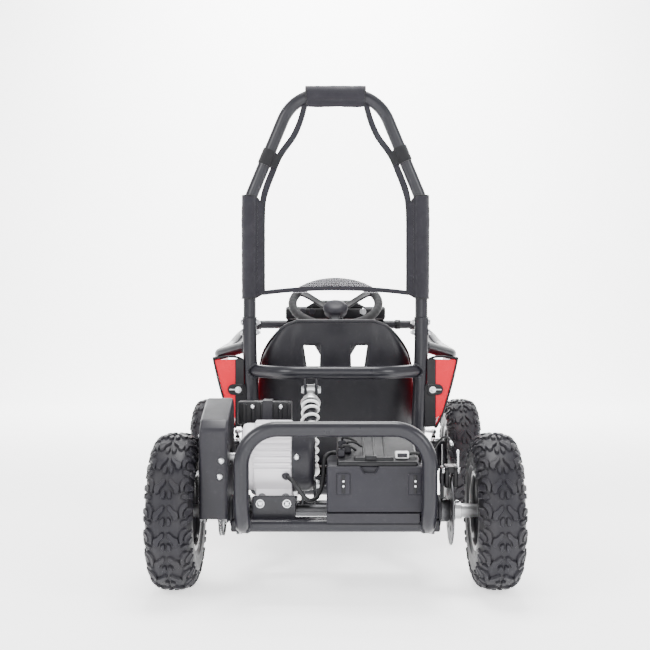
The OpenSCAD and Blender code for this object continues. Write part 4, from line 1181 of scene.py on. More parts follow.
@dataclass
class Wheel:
    """One 13 inch tyre with a knobbly tread on a pressed rim, round the X axis."""

    side: int
    x: float
    y: float
    body: Body
    front: bool
    z: float = 165.0
    tyre_r: float = 165.0
    lug: float = 5.4
    pitches: int = 19
    rim_half: float = 40.0
    bead_r: float = 76.0
    flange_r: float = 84.0

    @property
    def label(self) -> str:
        """The wheel's place in words."""
        return f"{'front' if self.front else 'rear'}_{'right' if self.side > 0 else 'left'}"

    def crown(self, count: int = 61) -> tuple[Array, Array, Array]:
        """The carcass' outside from one bead to the other.

        A spline through half a section, and its mirror image.

        Args:
            count: Points across it.

        Returns:
            Distance along the section from the middle, (x, r) points and their normals.
        """
        half = [(0, 159.6), (14, 159.1), (26, 156.4), (35, 151), (41.8, 142), (45.8, 130.5),
                (47.2, 117),
                (46.4, 104), (44, 93), (41.8, 86.5)]
        pts = np.array([(-x, r) for x, r in reversed(half[1:])] + half, dtype=float)
        curve = spline(np.column_stack([pts, np.zeros(len(pts))]), count)[:, :2]
        step = np.concatenate([[0], np.cumsum(np.linalg.norm(np.diff(curve, axis=0), axis=1))])
        along = step - step[-1] / 2
        t = unit(np.gradient(curve, axis=0))
        return along, curve, np.stack([-t[:, 1], t[:, 0]], -1)

    def round_it(self, x: Array, r: Array, s: Array) -> Array:
        """Points at x along the axle, radius r, and s mm round the tread from the top, rearwards."""
        x, r, a = np.broadcast_arrays(x, r, s / self.tyre_r)
        return np.stack([self.x * self.side + x, self.y - r * np.sin(a), self.z + r * np.cos(a)], -1)

    def tread(self) -> list[Array]:
        """Outlines of one pitch's lugs as (across, round) points, on the wheel's right half."""
        pitch = 2 * np.pi * self.tyre_r / self.pitches
        arm = [(3, 3), (9, 1), (20, 12), (27, 14), (29, 24), (25, 33), (17, 31), (15, 22), (5, 12)]
        leaf = [(31, 5), (38, -3), (48, -6), (51, 1), (43, 6), (38, 15), (37, 26), (32, 30), (29, 16)]
        knob = [(42, 12), (54, 6), (64, 6), (65, 17), (56, 21), (45, 27), (41, 22)]
        bar = [(55, 27), (65, 24), (74, 25), (74, 36), (64, 38), (54, 39)]
        foot = [(67, 5), (76, 6), (76, 15), (68, 16)]
        chip = [(6, 25), (12, 30), (12, 40), (6, 44), (2.5, 38), (2.5, 27)]
        small = [(35, 34), (42, 31), (50, 33), (50, 41), (42, 43), (35, 41)]
        scale = vec(0.86, pitch / 54.6)
        return [np.array(o, float) * scale for o in (arm, leaf, knob, bar, foot, chip, small)]

    def lugs(self, part: Part) -> None:
        """Stands every lug on the carcass.

        A lug's outline point (u, s) at height h is crown(u) + h normal(u), turned by s.
        Its wall leans in as it rises, and its top edge has a small chamfer.

        Args:
            part: The tyre.
        """
        along, curve, normal = self.crown(241)
        pitch = 2 * np.pi * self.tyre_r / self.pitches
        starts = np.arange(self.pitches) * pitch
        for outline in self.tread():
            for sign in (1, -1):
                loop = rounded_loop(outline * vec(sign, 1), 1.6)
                if signed_area(loop) < 0:
                    loop = loop[::-1]
                out = outward_normals(loop)
                low = max(0.0, abs(loop[:, 0]).max() - 48) * 0.11
                top = self.lug - low
                rings = [(loop + 1.4 * out, -1.5), (loop, top - 1.2), (loop - 1.0 * out, top)]
                n = len(loop)
                all_points = []
                for ring, h in rings:
                    u = ring[:, 0]
                    c = np.stack([np.interp(u, along, curve[:, k]) for k in (0, 1)], -1)
                    m = np.stack([np.interp(u, along, normal[:, k]) for k in (0, 1)], -1)
                    q = c + h * m
                    s = ring[None, :, 1] + starts[:, None]
                    all_points.append(self.round_it(np.broadcast_to(q[:, 0], s.shape),
                                                    np.broadcast_to(q[:, 1], s.shape), s))
                pts = np.stack(all_points, 1).reshape(self.pitches, len(rings) * n, 3)
                k = np.arange(n)
                wall = [np.stack([j * n + k, (j + 1) * n + k, (j + 1) * n + (k + 1) % n,
                                  j * n + (k + 1) % n], -1)
                        for j in range(len(rings) - 1)]
                wall = np.vstack(wall)
                cap = np.array(tessellate_polygon([[Vector((a, b, 0)) for a, b in rings[-1][0]]]))
                flat = rings[-1][0]
                e1, e2 = flat[cap[:, 1]] - flat[cap[:, 0]], flat[cap[:, 2]] - flat[cap[:, 0]]
                area = e1[:, 0] * e2[:, 1] - e1[:, 1] * e2[:, 0]
                cap[area > 0] = cap[area > 0][:, ::-1]
                cap = cap + (len(rings) - 1) * n
                shift = (np.arange(self.pitches) * len(rings) * n)[:, None, None]
                part.add(pts.reshape(-1, 3), (wall[None] + shift).reshape(-1, 4))
                part.faces.append(((cap[None] + shift).reshape(-1, 3) + part.count
                                   - len(pts.reshape(-1, 3)), 0))

    def tyre(self) -> None:
        """Carcass, sidewall rings, and all the lugs."""
        p = Part()
        _, curve, normal = self.crown(81)
        r = curve[:, 1]
        ribs = 0.7 * np.exp(-((r - 112) / 1.6) ** 2) + 0.7 * np.exp(-((r - 126) / 1.2) ** 2)
        ribs += 1.6 * np.exp(-((r - 96) / 2.5) ** 2)
        outer = curve + normal * ribs[:, None]
        bead = np.array([(40.6, 84.2), (40.6, 77), (33, 76.2), (29, 84), (36, 96), (40.4, 112),
                         (36, 138), (22, 148),
                         (0, 151)], dtype=float)
        inner = np.vstack([bead, (bead * vec(-1, 1))[::-1][1:]])
        section = np.vstack([outer, inner])
        a = np.linspace(0, 2 * np.pi, 114, endpoint=False)
        pts = self.round_it(section[:, 0][:, None], section[:, 1][:, None], (a * self.tyre_r)[None])
        wall = np.abs(section[:, 0]) > 40
        p.grid(pts[:, ::-1], True, True, None, 0)
        block, _ = p.faces[-1]
        rows = block[:, 0] // len(a)
        p.faces = [(block[~wall[rows]], 0), (block[wall[rows]], 1)]
        self.lugs(p)
        p.make(f"{self.label}_tyre_tread", self.body, "tyre", dressed(TYRE_RUBBER, TYRE_WALL),
               (f"{'front' if self.front else 'rear'}_tyre_{'right' if self.side > 0 else 'left'}",),
               merge=False)

    def rim(self) -> None:
        """The barrel with its curled flanges, the dished disc, lug nuts and the hub."""
        p, at, out = Part(), vec(self.x * self.side, self.y, self.z), vec(self.side, 0, 0)
        h, b, f = self.rim_half, self.bead_r, self.flange_r
        barrel = [(b, -h), (b, -30), (b - 9, -24), (b - 9, -6), (b, 2), (b, h), (f - 1.5, h),
                  (f, h + 0.6),
                  (f, h + 2), (f - 2, h + 2.4), (b - 2, h + 1.4), (b - 3, h - 3), (b - 3, 4),
                  (b - 12, -5),
                  (b - 12, -25), (b - 3, -32), (b - 3, -h + 3), (b - 2, -h - 1.4), (f - 2, -h - 2.4),
                  (f, -h - 2), (f, -h - 0.6), (f - 1.5, -h)]
        p.turn(barrel, at, out, 72, 0, True)
        hub_face = 8.0 if self.front else 5.0
        bore = 22.0 if self.front else 16.0
        place = Place(tuple(at), (0, self.side, 0), (0, 0, 1))
        holes = [circle(bore, steps=36)]
        for k in range(4):
            a = math.pi / 4 + k * math.pi / 2
            holes.append(circle(13, 45 * math.cos(a), 45 * math.sin(a), 28))
        p.plate(circle(b - 8, steps=72), hub_face, hub_face + 4, place, holes, 0.8)
        p.turn([(b - 10, hub_face + 0.5), (b - 3.5, hub_face + 4), (b - 3.5, hub_face + 8),
                (b - 11, hub_face + 4)],
               at, out, 72, 0, True)
        for k in range(4):
            a = math.pi / 4 + k * math.pi / 2
            ring = circle(14.2, 45 * math.cos(a), 45 * math.sin(a), 28)
            p.sweep(place.at(ring[:, 0], ring[:, 1], hub_face + 4), 1.3, 8, True)
            c = place.at(33 * math.cos(a + math.pi / 4), 33 * math.sin(a + math.pi / 4), hub_face + 4)
            hex_head(p, c, out, 15, 8, 19, 1)
            rod(p, c + out * 8, c + out * 12, 8, 14, 1)
        if self.front:
            p.turn([(8.7, -30), (17, -30), (22, -27), (22, 8), (20, 12), (20, 36), (21.5, 38),
                    (21.5, 45), (8.7, 45)],
                   at, out, 44, 0, True)
            p.turn([(20, 38), (24, 39), (24, 43), (20, 45)], at, out, 44, 1)
        else:
            p.turn([(15.6, 5), (20, 5.5), (20, 15), (17, 17), (15.6, 17)], at, out, 40, 0, True)
        node = f"{'front' if self.front else 'rear'}_rim_{'right' if self.side > 0 else 'left'}"
        p.make(f"{self.label}_wheel_rim", self.body, "rim_paint", dressed(RIM_PAINT, ZINC), (node,))

    def build(self) -> None:
        """Builds the tyre and the rim."""
        self.tyre()
        self.rim()


def rounded_loop(outline: Array, r: float) -> Array:
    """A closed outline with each corner cut by two points, a distance r from it."""
    before, after = unit(np.roll(outline, 1, 0) - outline), unit(np.roll(outline, -1, 0) - outline)
    both = np.stack([outline + r * before, outline + r * after], 1)
    return both.reshape(-1, 2)


# ------------------------------------------------------------------ body panels and seat

@dataclass
class Panels:
    """The nose, the dash housing and the two side fairings."""

    dash: tuple[float, float] = (460.0, 550.0)

    def nose(self) -> None:
        """The nose: a shell bent round from side to side, with a black grille panel.

        Each station of the top line is joined to a point of the back line by a side
        wall; between wall and face the section turns a quarter circle of radius 24.
        """
        top = spline([(511, 391, 0), (548, 395, 0), (582, 391, 0), (610, 372, 0), (634, 336, 0),
                      (650, 290, 0),
                      (653.5, 250, 0), (651, 216, 0), (624, 205, 0), (598, 202, 0)], 44)[:, :2]
        s = np.linspace(0, 1, 44)[:, None]
        back = (1 - s) * vec(502, 378) + s * vec(592, 205)
        w, r = 170.0, 24.0
        depth = np.linalg.norm(top - back, axis=1)
        turn = np.minimum(r, depth * 0.6)[:, None]
        inward = unit(back - top + 1e-6)
        a = np.linspace(0, np.pi / 2, 7)
        x_face = np.linspace(-w + r, w - r, 25)
        rows_x = np.concatenate([[-w, -w, -w], -w + r * (1 - np.cos(a)), x_face[1:-1],
                                 (w - r) + r * np.sin(a),
                                 [w, w, w]])
        into = vec(1, 0.6, 0.3)
        sink = np.concatenate([np.zeros(3), 1 - np.sin(a), np.zeros(23), 1 - np.cos(a), np.zeros(3)])
        wall = np.concatenate([into, np.zeros(7 + 23 + 7), into[::-1]])
        bow = -9.0 * (np.abs(rows_x) / w) ** 3
        reach = np.maximum(depth[:, None] - turn, 0)
        yz = top[:, None] + inward[:, None] * (turn * sink[None] + wall[None] * reach
                                               + turn * (wall[None] > 0))[..., None]
        yz = yz + vec(1, 0) * bow[None, :, None] * (wall[None, :, None] == 0)
        p3 = np.stack([np.broadcast_to(rows_x, yz.shape[:2]), yz[..., 0], yz[..., 1]], -1)
        part = Part()
        mid = (p3[1:, 1:] + p3[:-1, :-1]) / 2
        black = (np.abs(mid[..., 0]) < 96) & (mid[..., 2] > 235) & (mid[..., 2] < 352)
        part.grid(p3, keep=~black)
        part.grid(p3, keep=black, finish=1)
        obj = part.make("nose_cover", Body.CHASSIS, "red_plastic", dressed(RED_PLASTIC, BLACK_TRIM),
                        ("nose_fairing",), crease=50)
        thicken(obj, 3.5)
        q = Part()
        for z in np.linspace(246, 336, 5):
            row = int(np.argmin(np.abs(top[:, 1] - z)))
            q.box(vec(-84, top[row, 0] - 5, z - 5), vec(84, top[row, 0] + 2.5, z + 5), 3)
        edge = np.column_stack([p3[-1, 3:-3]])
        q.sweep(edge, 3.2, 10)
        q.make("nose_grille", Body.CHASSIS, "black_plastic", dressed(BLACK_TRIM))

    def dash_housing(self) -> None:
        """The dash: a moulded box with a raised hump, a round dial, a key switch and two buttons."""
        p = Part()
        side = rounded([(398, 568), (396, 596), (408, 604), (470, 600), (484, 580), (474, 562.5),
                        (446, 562.5)],
                       [4, 6, 6, 8, 6, 3, 3])
        p.plate(side, -149, 149, SIDE_VIEW, edge=3.5)
        hump = rounded([(-98, 598), (98, 598), (54, 623), (-54, 623)], [3, 3, 12, 12])
        p.plate(hump, -466, -400, BACK_VIEW, edge=4)
        face = unit(vec(0, -42, -4))
        rim = [(0, 0), (30, 0), (32, 2), (32, 7), (29, 8), (27, 5), (0, 5)]
        p.turn(rim, vec(0, 397.5, 590), face, 48, 0)
        p.turn([(26.5, 4), (26.5, 5.6), (24, 6.6), (0, 7.2)], vec(0, 397.5, 590), face, 48, 1)
        p.turn([(0, 0), (9, 0), (9.5, 1), (9.5, 5), (8, 6.5), (4, 6.5), (4, 4), (0, 4)],
               vec(82, 397.5, 590), face, 32, 2)
        p.box(vec(80.8, 388, 584), vec(83.2, 393, 596), 0.8, 2)
        for x in (-70, -98):
            p.turn([(0, 0), (10, 0), (10, 3), (8, 5), (0, 6)], vec(x, 397.5, 590), face, 32, 3)
        p.make("dash_cover", Body.CHASSIS, "black_plastic",
               dressed(BLACK_TRIM, CLEAR_LENS, ZINC, CASE_PLASTIC), ("dash_housing",))

    def fairing(self, right: bool) -> None:
        """One side fairing: bowed outer panel, lower lip, rear flange, black edging and clip."""
        s = np.linspace(0, 1, 15)[:, None]
        y = np.linspace(-130, 190, 29)[None]
        ease = np.clip((y - 40) / 150, 0, 1) ** 2
        low = np.stack([265 + 0 * y, y, 332 + 54 * ease], -1)[0]
        high = np.stack([303 + 0 * y, y, 471 - 12 * ease], -1)[0]
        panel = low[None] * (1 - s[..., None]) + high[None] * s[..., None]
        panel = panel + vec(4.5, 0, 0) * np.sin(np.pi * s)[..., None]
        lip = np.stack([low + t * vec(-15, 0, -32) * (1 - ease[0, :, None])
                        + vec(2, 0, 0) * math.sin(math.pi * t)
                        for t in np.linspace(1, 0, 6)])
        sheet = np.vstack([lip[:-1], panel])
        p = Part().grid(sheet.transpose(1, 0, 2))
        side = "right" if right else "left"
        (p if right else p.mirrored()).make(
            f"side_cover_{side}", Body.CHASSIS, "red_plastic", dressed(RED_PLASTIC),
            (f"side_fairing_{side}",), crease=60)
        thicken(bpy.data.objects[f"side_cover_{side}"], 3.2)
        q = Part()
        flange = rounded([(247, 322), (255, 326), (266, 334), (302, 468), (247, 470)], [2, 2, 3, 5, 3])
        q.plate(flange, 130, 133.4, BACK_VIEW, finish=0)
        strip = rounded([(222, 300), (250, 302), (250, 471), (228, 471), (228, 410), (222, 400)],
                        [3, 4, 3, 4, 3, 3])
        q.plate(strip, 129, 134.4, BACK_VIEW, [circle(3, 242, 394, 16)], finish=1)
        clip = rounded([(228, 381), (268, 381), (268, 408), (228, 408)], [7, 13, 13, 7])
        q.plate(clip, 134, 138, BACK_VIEW, finish=1, edge=1.4)
        q.box(vec(249, -140, 393), vec(264, -137, 396), 1.2, 2)
        q.sweep(panel[-1] + vec(0.5, 0, 1), 3.6, 10, finish=1)
        q.sweep(np.vstack([sheet[0][:24]]), 2.8, 10, finish=1)
        rear = np.array([(250, -132, 300), (265.5, -132, 332), (286, -132, 398), (303, -132, 470)])
        q.sweep(spline(rear + vec(1, -1, 0), 16), 2.6, 10, finish=1)
        q.sweep(spline([(303, -132, 471), (275, -133, 476), (250, -133, 476), (232, -133, 470)], 16),
                3.0, 10, finish=1)
        hidden = q if right else q.mirrored()
        hidden.make(f"side_cover_trim_{side}", Body.CHASSIS, "black_plastic",
                    dressed(RED_PLASTIC, BLACK_TRIM, ZINC))

    def build(self) -> None:
        """Builds every panel."""
        self.nose()
        self.dash_housing()
        self.fairing(True)
        self.fairing(False)


def thicken(obj: bpy.types.Object, thickness: float, offset: float = -1.0) -> None:
    """Gives a sheet its wall, inward from its face, with a Solidify modifier."""
    wall = obj.modifiers.new("wall", "SOLIDIFY")
    wall.thickness = thickness * MM
    wall.offset = offset
    wall.use_rim = True


@dataclass
class Seat:
    """The bucket seat: one moulded shell with two slots and a rolled edge."""

    half: float = 193.0
    wall: float = 5.0
    slots: tuple[float, float] = (447.0, 503.0)

    def lines(self) -> tuple[Array, Array, Array]:
        """The shell's lines from the top of the back to the front lip.

        Returns:
            (y, z) of the middle, (y, z) of the rolled edge, and half the width there.
        """
        middle = [(-119, 565), (-113, 540), (-104.5, 503), (-96, 468), (-91, 447), (-78, 385),
                  (-62, 310),
                  (-46, 245), (-34, 210), (-16, 190.5), (25, 186), (90, 185.5), (160, 186), (208, 189),
                  (230, 206),
                  (240, 234)]
        edge = [(-119, 565), (-106, 550), (-84, 519), (-58, 487), (-34, 457), (-8, 424), (18, 385),
                (36, 348),
                (48, 326), (72, 309), (100, 297), (135, 285), (170, 276), (200, 268), (222, 258),
                (238, 240)]
        width = [96, 130, 161, 182, 192, 200, 207, 210, 210, 206, 200, 192, 186, 180, 172, 160]
        return np.array(middle, float), np.array(edge, float), np.array(width, float)

    def surface(self) -> tuple[Array, Array]:
        """The shell's outer face.

        Down the seat run splines through the three lines. Across it x follows knots
        at the slots' edges, and the section is a fourth-power super-ellipse from the
        middle line up to the edge: rise = 1 - (1 - |x/w|^4)^(1/4). A shallow channel
        runs down the middle and two ribs beside it.

        Returns:
            Points shaped (across, down, 3), and which quads the slots leave.
        """
        mid, edge, width = self.lines()
        keys = np.arange(len(mid))
        fine = np.unique(np.concatenate([keys, np.linspace(0, len(mid) - 1, 76)]))
        count = 15001
        pick = np.round(fine / (len(mid) - 1) * (count - 1)).astype(int)
        m = spline(np.column_stack([mid, np.zeros(len(mid))]), count)[pick, :2]
        e = spline(np.column_stack([edge, np.zeros(len(edge))]), count)[pick, :2]
        w = spline(np.column_stack([width, width * 0, width * 0]), count)[pick, 0]
        z = m[:, 1]
        inner = np.interp(z, self.slots, (40, 38))
        outer = np.interp(z, self.slots, (72, 80))
        outer = np.minimum(outer, w * 0.62)
        t = np.linspace(0, 1, 17)
        tail = 1 - (1 - t) ** 1.9
        x = np.vstack([inner[None] * np.linspace(0, 1, 7)[:, None],
                       inner[None] + (outer - inner)[None] * np.linspace(0, 1, 6)[1:, None],
                       outer[None] + (w - outer)[None] * tail[1:, None]])
        share = np.clip(x / w, 0, 1)
        rise = 1 - (1 - share**4) ** 0.25
        yz = m[None] + (e - m)[None] * rise[..., None]
        back = np.clip((m[:, 1] - 250) / 60, 0, 1) * np.clip((560 - m[:, 1]) / 30, 0, 1)
        ribs = 4.0 * np.exp(-((np.abs(x) - 96) / 9) ** 2) - 3.0 * np.exp(-(x / 22) ** 2)
        yz[..., 0] -= ribs * back[None]
        right = np.stack([x, yz[..., 0], yz[..., 1]], -1)
        full = np.concatenate([flip(right)[:0:-1], right])
        low, high = (int(np.argmin(np.abs(z - s) + 1000 * (np.arange(len(z)) > 40)))
                     for s in self.slots)
        keep = np.ones((len(full) - 1, len(m) - 1), dtype=bool)
        n = len(right) - 1
        for a, b in ((n + 6, n + 11), (n - 11, n - 6)):
            keep[a:b, min(low, high):max(low, high)] = False
        return full, keep

    def build(self) -> None:
        """Builds the shell, its rolled edge, and the bolts that hold it."""
        p3, keep = self.surface()
        shell = Part().grid(p3[:, ::-1], keep=keep[:, ::-1])
        obj = shell.make("seat_bucket", Body.CHASSIS, "black_plastic", dressed(SEAT_PLASTIC),
                         ("seat_shell",),
                         crease=55)
        thicken(obj, self.wall, -1.0)
        trim = Part()
        loop = np.vstack([p3[0, :], p3[:, -1][1:-1], p3[-1, ::-1], p3[::-1, 0][1:-1]])
        trim.sweep(loop + AHEAD, 4.2, 12, True)
        for s in (-1, 1):
            for y in (0, 150):
                button_head(trim, vec(s * 105, y, 191), UP, 14, 1)
        trim.make("seat_edge", Body.CHASSIS, "black_plastic", dressed(SEAT_PLASTIC, ZINC))


# ------------------------------------------------------------------ cloth on the hoop

@dataclass
class HoopCloth:
    """The net between the hoop's legs, its hems, sleeves, straps and the top pad."""

    y: float = -122.0
    hoop_x: float = 215.0
    low: float = 622.0
    high: float = 878.0
    pitch: float = 4.2
    yarn: float = 1.55

    def outline_half(self, z: Array) -> Array:
        """Half the net's width at height z: straight to 850, then sloping to the pad."""
        return np.interp(z, [635, 850, 890, 932, 979, 1026, 1066, 1104],
                         [178, 178, 172, 157, 135, 103, 86, 75])

    def net(self) -> None:
        """The net: flat yarns both ways, bellied a little to the rear.

        Each yarn is a closed ribbon whose middle follows the net's surface,
        y - 2 cos(pi x / 2w) sin(pi (z - low) / height).
        """
        z_low, z_bend, z_high = 635.0, 850.0, 1104.0
        half_low, half_high = 178.0, 75.0

        def belly(x: Array, z: Array) -> Array:
            w = self.outline_half(z)
            bend = np.cos(np.pi * np.clip(x / (2 * w), -0.5, 0.5)) * np.sin(np.pi * (z - z_low)
                                                                            / (z_high - z_low))
            return self.y - 2.0 * bend

        p = Part()
        zs = np.arange(z_low + 1, z_high, self.pitch)
        w = self.outline_half(zs)
        t = np.linspace(-1, 1, 15)
        x = w[:, None] * t
        z = np.broadcast_to(zs[:, None], x.shape)
        self.ribbons(p, np.stack([x, belly(x, z), z], -1), UP, 0.3)
        xs = np.arange(-176, 177, self.pitch)
        top = np.interp(-np.abs(xs), [-half_low, -half_high], [z_bend, z_high])
        t = np.linspace(0, 1, 19)
        z = z_low + (top - z_low)[:, None] * t
        x = np.broadcast_to(xs[:, None], z.shape)
        self.ribbons(p, np.stack([x, belly(x, z) + 0.5, z], -1), RIGHT, 0.3)
        net = p.make("hoop_net", Body.CHASSIS, "mesh_fabric", dressed(NET_YARN), ("mesh_screen",),
                     merge=False)

    def ribbons(self, p: Part, paths: Array, wide: Array, thick: float) -> None:
        """Adds a closed flat ribbon along each row of paths."""
        across, deep = self.yarn / 2 * wide, thick / 2 * AHEAD
        corners = [-across - deep, across - deep, across + deep, -across + deep]
        ring = np.stack([paths + c for c in corners], 2)
        n, m = paths.shape[:2]
        index = np.arange(n * m * 4).reshape(n, m, 4)
        nxt = np.roll(index, -1, 2)
        side = np.stack([index[:, :-1], nxt[:, :-1], nxt[:, 1:], index[:, 1:]], -1).reshape(-1, 4)
        along = unit(paths[0, 1] - paths[0, 0])
        if np.cross(corners[1] - corners[0], along) @ (corners[0] + corners[1]) < 0:
            side = side[:, ::-1]
            ends = np.vstack([index[:, 0], index[:, -1, ::-1]])
        else:
            ends = np.vstack([index[:, 0, ::-1], index[:, -1]])
        p.add(ring.reshape(-1, 3), np.vstack([side, ends]))

    def sleeve_section(self, s: Array) -> Array:
        """The sleeve's section round a leg as (x, y) offsets, s from 0 to 1.

        It starts at the net's edge in front, goes out round the leg and back to the
        net's edge behind, so both ends meet the net.
        """
        r = 18.6
        a = np.linspace(-2.5, 2.5, 33)
        arc = np.stack([r * np.cos(a), r * np.sin(a)], -1)
        start = np.linspace([-37, -3.6], arc[0], 9)[:-1]
        end = np.linspace(arc[-1], [-37, -1.2], 9)[1:]
        full = np.vstack([start, arc, end])
        along = np.concatenate([[0], np.cumsum(np.linalg.norm(np.diff(full, axis=0), axis=1))])
        return np.stack([np.interp(s * along[-1], along, full[:, k]) for k in (0, 1)], -1), along[-1]

    def sleeve(self, right: bool) -> None:
        """One creased sleeve with bound edges and a seam along its inner side."""
        section, girth = self.sleeve_section(np.linspace(0, 1, 72))
        t = np.linspace(0, 1, 60)
        base = np.stack([np.broadcast_to(self.hoop_x + section[:, 0], (60, 72)),
                         np.broadcast_to(self.y + 2 + section[:, 1], (60, 72)),
                         np.broadcast_to((self.low + (self.high - self.low) * t)[:, None],
                                         (60, 72))], -1)
        taper = np.interp(base[..., 2], [self.low, self.low + 18], [0, 1])
        flap = np.clip(-section[:, 0] - 12, 0, 25)[None] / 25
        base[..., 2] += (1 - taper) * flap * 14 - np.interp(t, [0.9, 1], [0, 1])[:, None] * flap * 22
        out = unit(np.stack([section[:, 0] + 6, section[:, 1], 0 * section[:, 0]], -1) + 1e-9)
        folds = 1.3 * ripple(base * vec(1, 1, 0.35), 60, 4) + 0.7 * ripple(base * vec(1, 1, 2.2), 38, 9)
        crease = np.sin((base[..., 2] + 0.9 * base[..., 0]) / 3.6 + 1.1 * ripple(base, 70, 7))
        folds = folds * (1 - 0.6 * flap) + 3.0 * crease * flap * (1 - flap**6)
        pts = base + folds[..., None] * out
        uv = np.stack(np.broadcast_arrays(np.linspace(0, girth, 72)[None], base[..., 2]), -1) * MM
        name = "right" if right else "left"
        p = Part().grid(pts.transpose(1, 0, 2), uv=uv.transpose(1, 0, 2))
        probe = np.cross(pts[30, 37] - pts[30, 36], pts[31, 36] - pts[30, 36])
        if probe[0] < 0:
            p = Part().grid(pts, uv=uv)
        cloth = (p if right else p.mirrored()).make(
            f"hoop_sleeve_{name}", Body.CHASSIS, "dark_fabric", dressed(CANVAS),
            ("mesh_edging",) if right else (), crease=80)
        thicken(cloth, 1.1, 1.0)
        q = Part()
        for row in (0, -1):
            q.sweep(pts[row], 1.9, 8)
        q.sweep(pts[:, 0] + vec(0, -0.6, 0), 2.0, 8)
        q.sweep(pts[:, 9] + vec(0, -1.2, 0), 0.7, 6)
        (q if right else q.mirrored()).make(f"sleeve_binding_{name}", Body.CHASSIS, "dark_fabric",
                                            dressed(WEBBING))

    def hem(self, right: bool) -> None:
        """The bound hem up the net's side, and the strap that ties it to the hoop."""
        line = spline([(186, self.y, 640), (184, self.y, 760), (182, self.y, 850), (176, self.y, 888),
                       (160, self.y, 932), (139, self.y, 979), (106, self.y, 1026), (88, self.y, 1066),
                       (76, self.y, 1108)], 70)
        t = unit(np.gradient(line, axis=0))
        across = np.cross(t, AHEAD)
        s = np.linspace(-1, 1, 9)
        wave = 1.2 * np.sin(line[:, 2] / 17.0)[:, None] * (1 - s[None] ** 2)
        half = np.interp(line[:, 2], [640, 850, 900, 1108], [6, 7, 8.5, 7])
        pts = line[:, None] + half[:, None, None] * s[None, :, None] * across[:, None]
        pts = pts - AHEAD * (1.4 + wave)[..., None]
        uv = np.stack(np.broadcast_arrays(s[None] * 8, line[:, 2:3]), -1) * MM
        probe = np.cross(pts[1, 0] - pts[0, 0], pts[0, 1] - pts[0, 0])
        p = Part().grid(pts if probe[1] < 0 else pts[:, ::-1], uv=uv if probe[1] < 0 else uv[:, ::-1])
        name = "right" if right else "left"
        cloth = (p if right else p.mirrored()).make(f"net_hem_{name}", Body.CHASSIS, "dark_fabric",
                                                    dressed(CANVAS), crease=80)
        thicken(cloth, 1.4, 0.0)
        q = Part()
        self.strap(q, 982 if right else 974)
        (q if right else q.mirrored()).make(f"net_strap_{name}", Body.CHASSIS, "dark_fabric",
                                            dressed(WEBBING, BLACK_TRIM))

    def bottom_hem(self) -> None:
        """The net's bottom hem: a double band between the sleeves that rises to its middle."""
        x = np.linspace(-182, 182, 61)
        z = 647 - 12 * (x / 182) ** 2
        t = np.linspace(0, 2 * np.pi, 20, endpoint=False)
        wide = np.sign(np.sin(t)) * np.abs(np.sin(t)) ** 0.6 * 5.6
        deep = np.sign(np.cos(t)) * np.abs(np.cos(t)) ** 0.6 * 1.5
        roll = 0.5 * np.sin(x / 13)[:, None]
        pts = np.stack(np.broadcast_arrays(x[:, None], self.y - 1.2 + deep[None] + roll,
                                           z[:, None] + wide[None]), -1)
        uv = np.stack(np.broadcast_arrays(x[:, None], wide[None]), -1) * MM
        probe = np.cross(pts[31, 5] - pts[30, 5], pts[30, 6] - pts[30, 5])[2]
        way = slice(None) if probe > 0 else slice(None, None, -1)
        p = Part().grid(pts[:, way], False, True, uv[:, way])
        p.disc(pts[0], -RIGHT).disc(pts[-1], RIGHT)
        hem = p.make("net_bottom_hem", Body.CHASSIS, "dark_fabric", dressed(CANVAS), crease=80)

    def strap(self, p: Part, z: float) -> None:
        """A strap round the sloping tube at height z: a band, and its tail to the hem."""
        slope = unit(vec(-110.5, 0, 265))
        c = vec(self.hoop_x - 110.5 * (z - 868) / 265, -120, z)
        band = [(15.6, -20), (17.4, -20), (17.9, -18), (17.9, 18), (17.4, 20), (15.6, 20)]
        p.turn(band, c, slope, 40, 0, True)
        inner = np.cross(slope, AHEAD)
        inner = inner if inner[0] < 0 else -inner
        a = c + inner * 14 + vec(0, -9, 0)
        b = c + inner * 34 + vec(0, -5, 0)
        s = np.linspace(0, 1, 8)[:, None]
        mid = a + (b - a) * s + vec(0, -1.5, 0) * np.sin(np.pi * s)
        rows = np.stack([mid + slope * w + vec(0, d, 0) for w,
                         d in ((-17, -0.9), (17, -0.9), (17, 0.9), (-17, 0.9))], 1)
        probe = np.cross(rows[1, 0] - rows[0, 0], rows[0, 1] - rows[0, 0])
        p.grid(rows if probe[1] < 0 else rows[:, ::-1], False, True)
        p.disc(rows[0], a - b).disc(rows[-1], b - a)

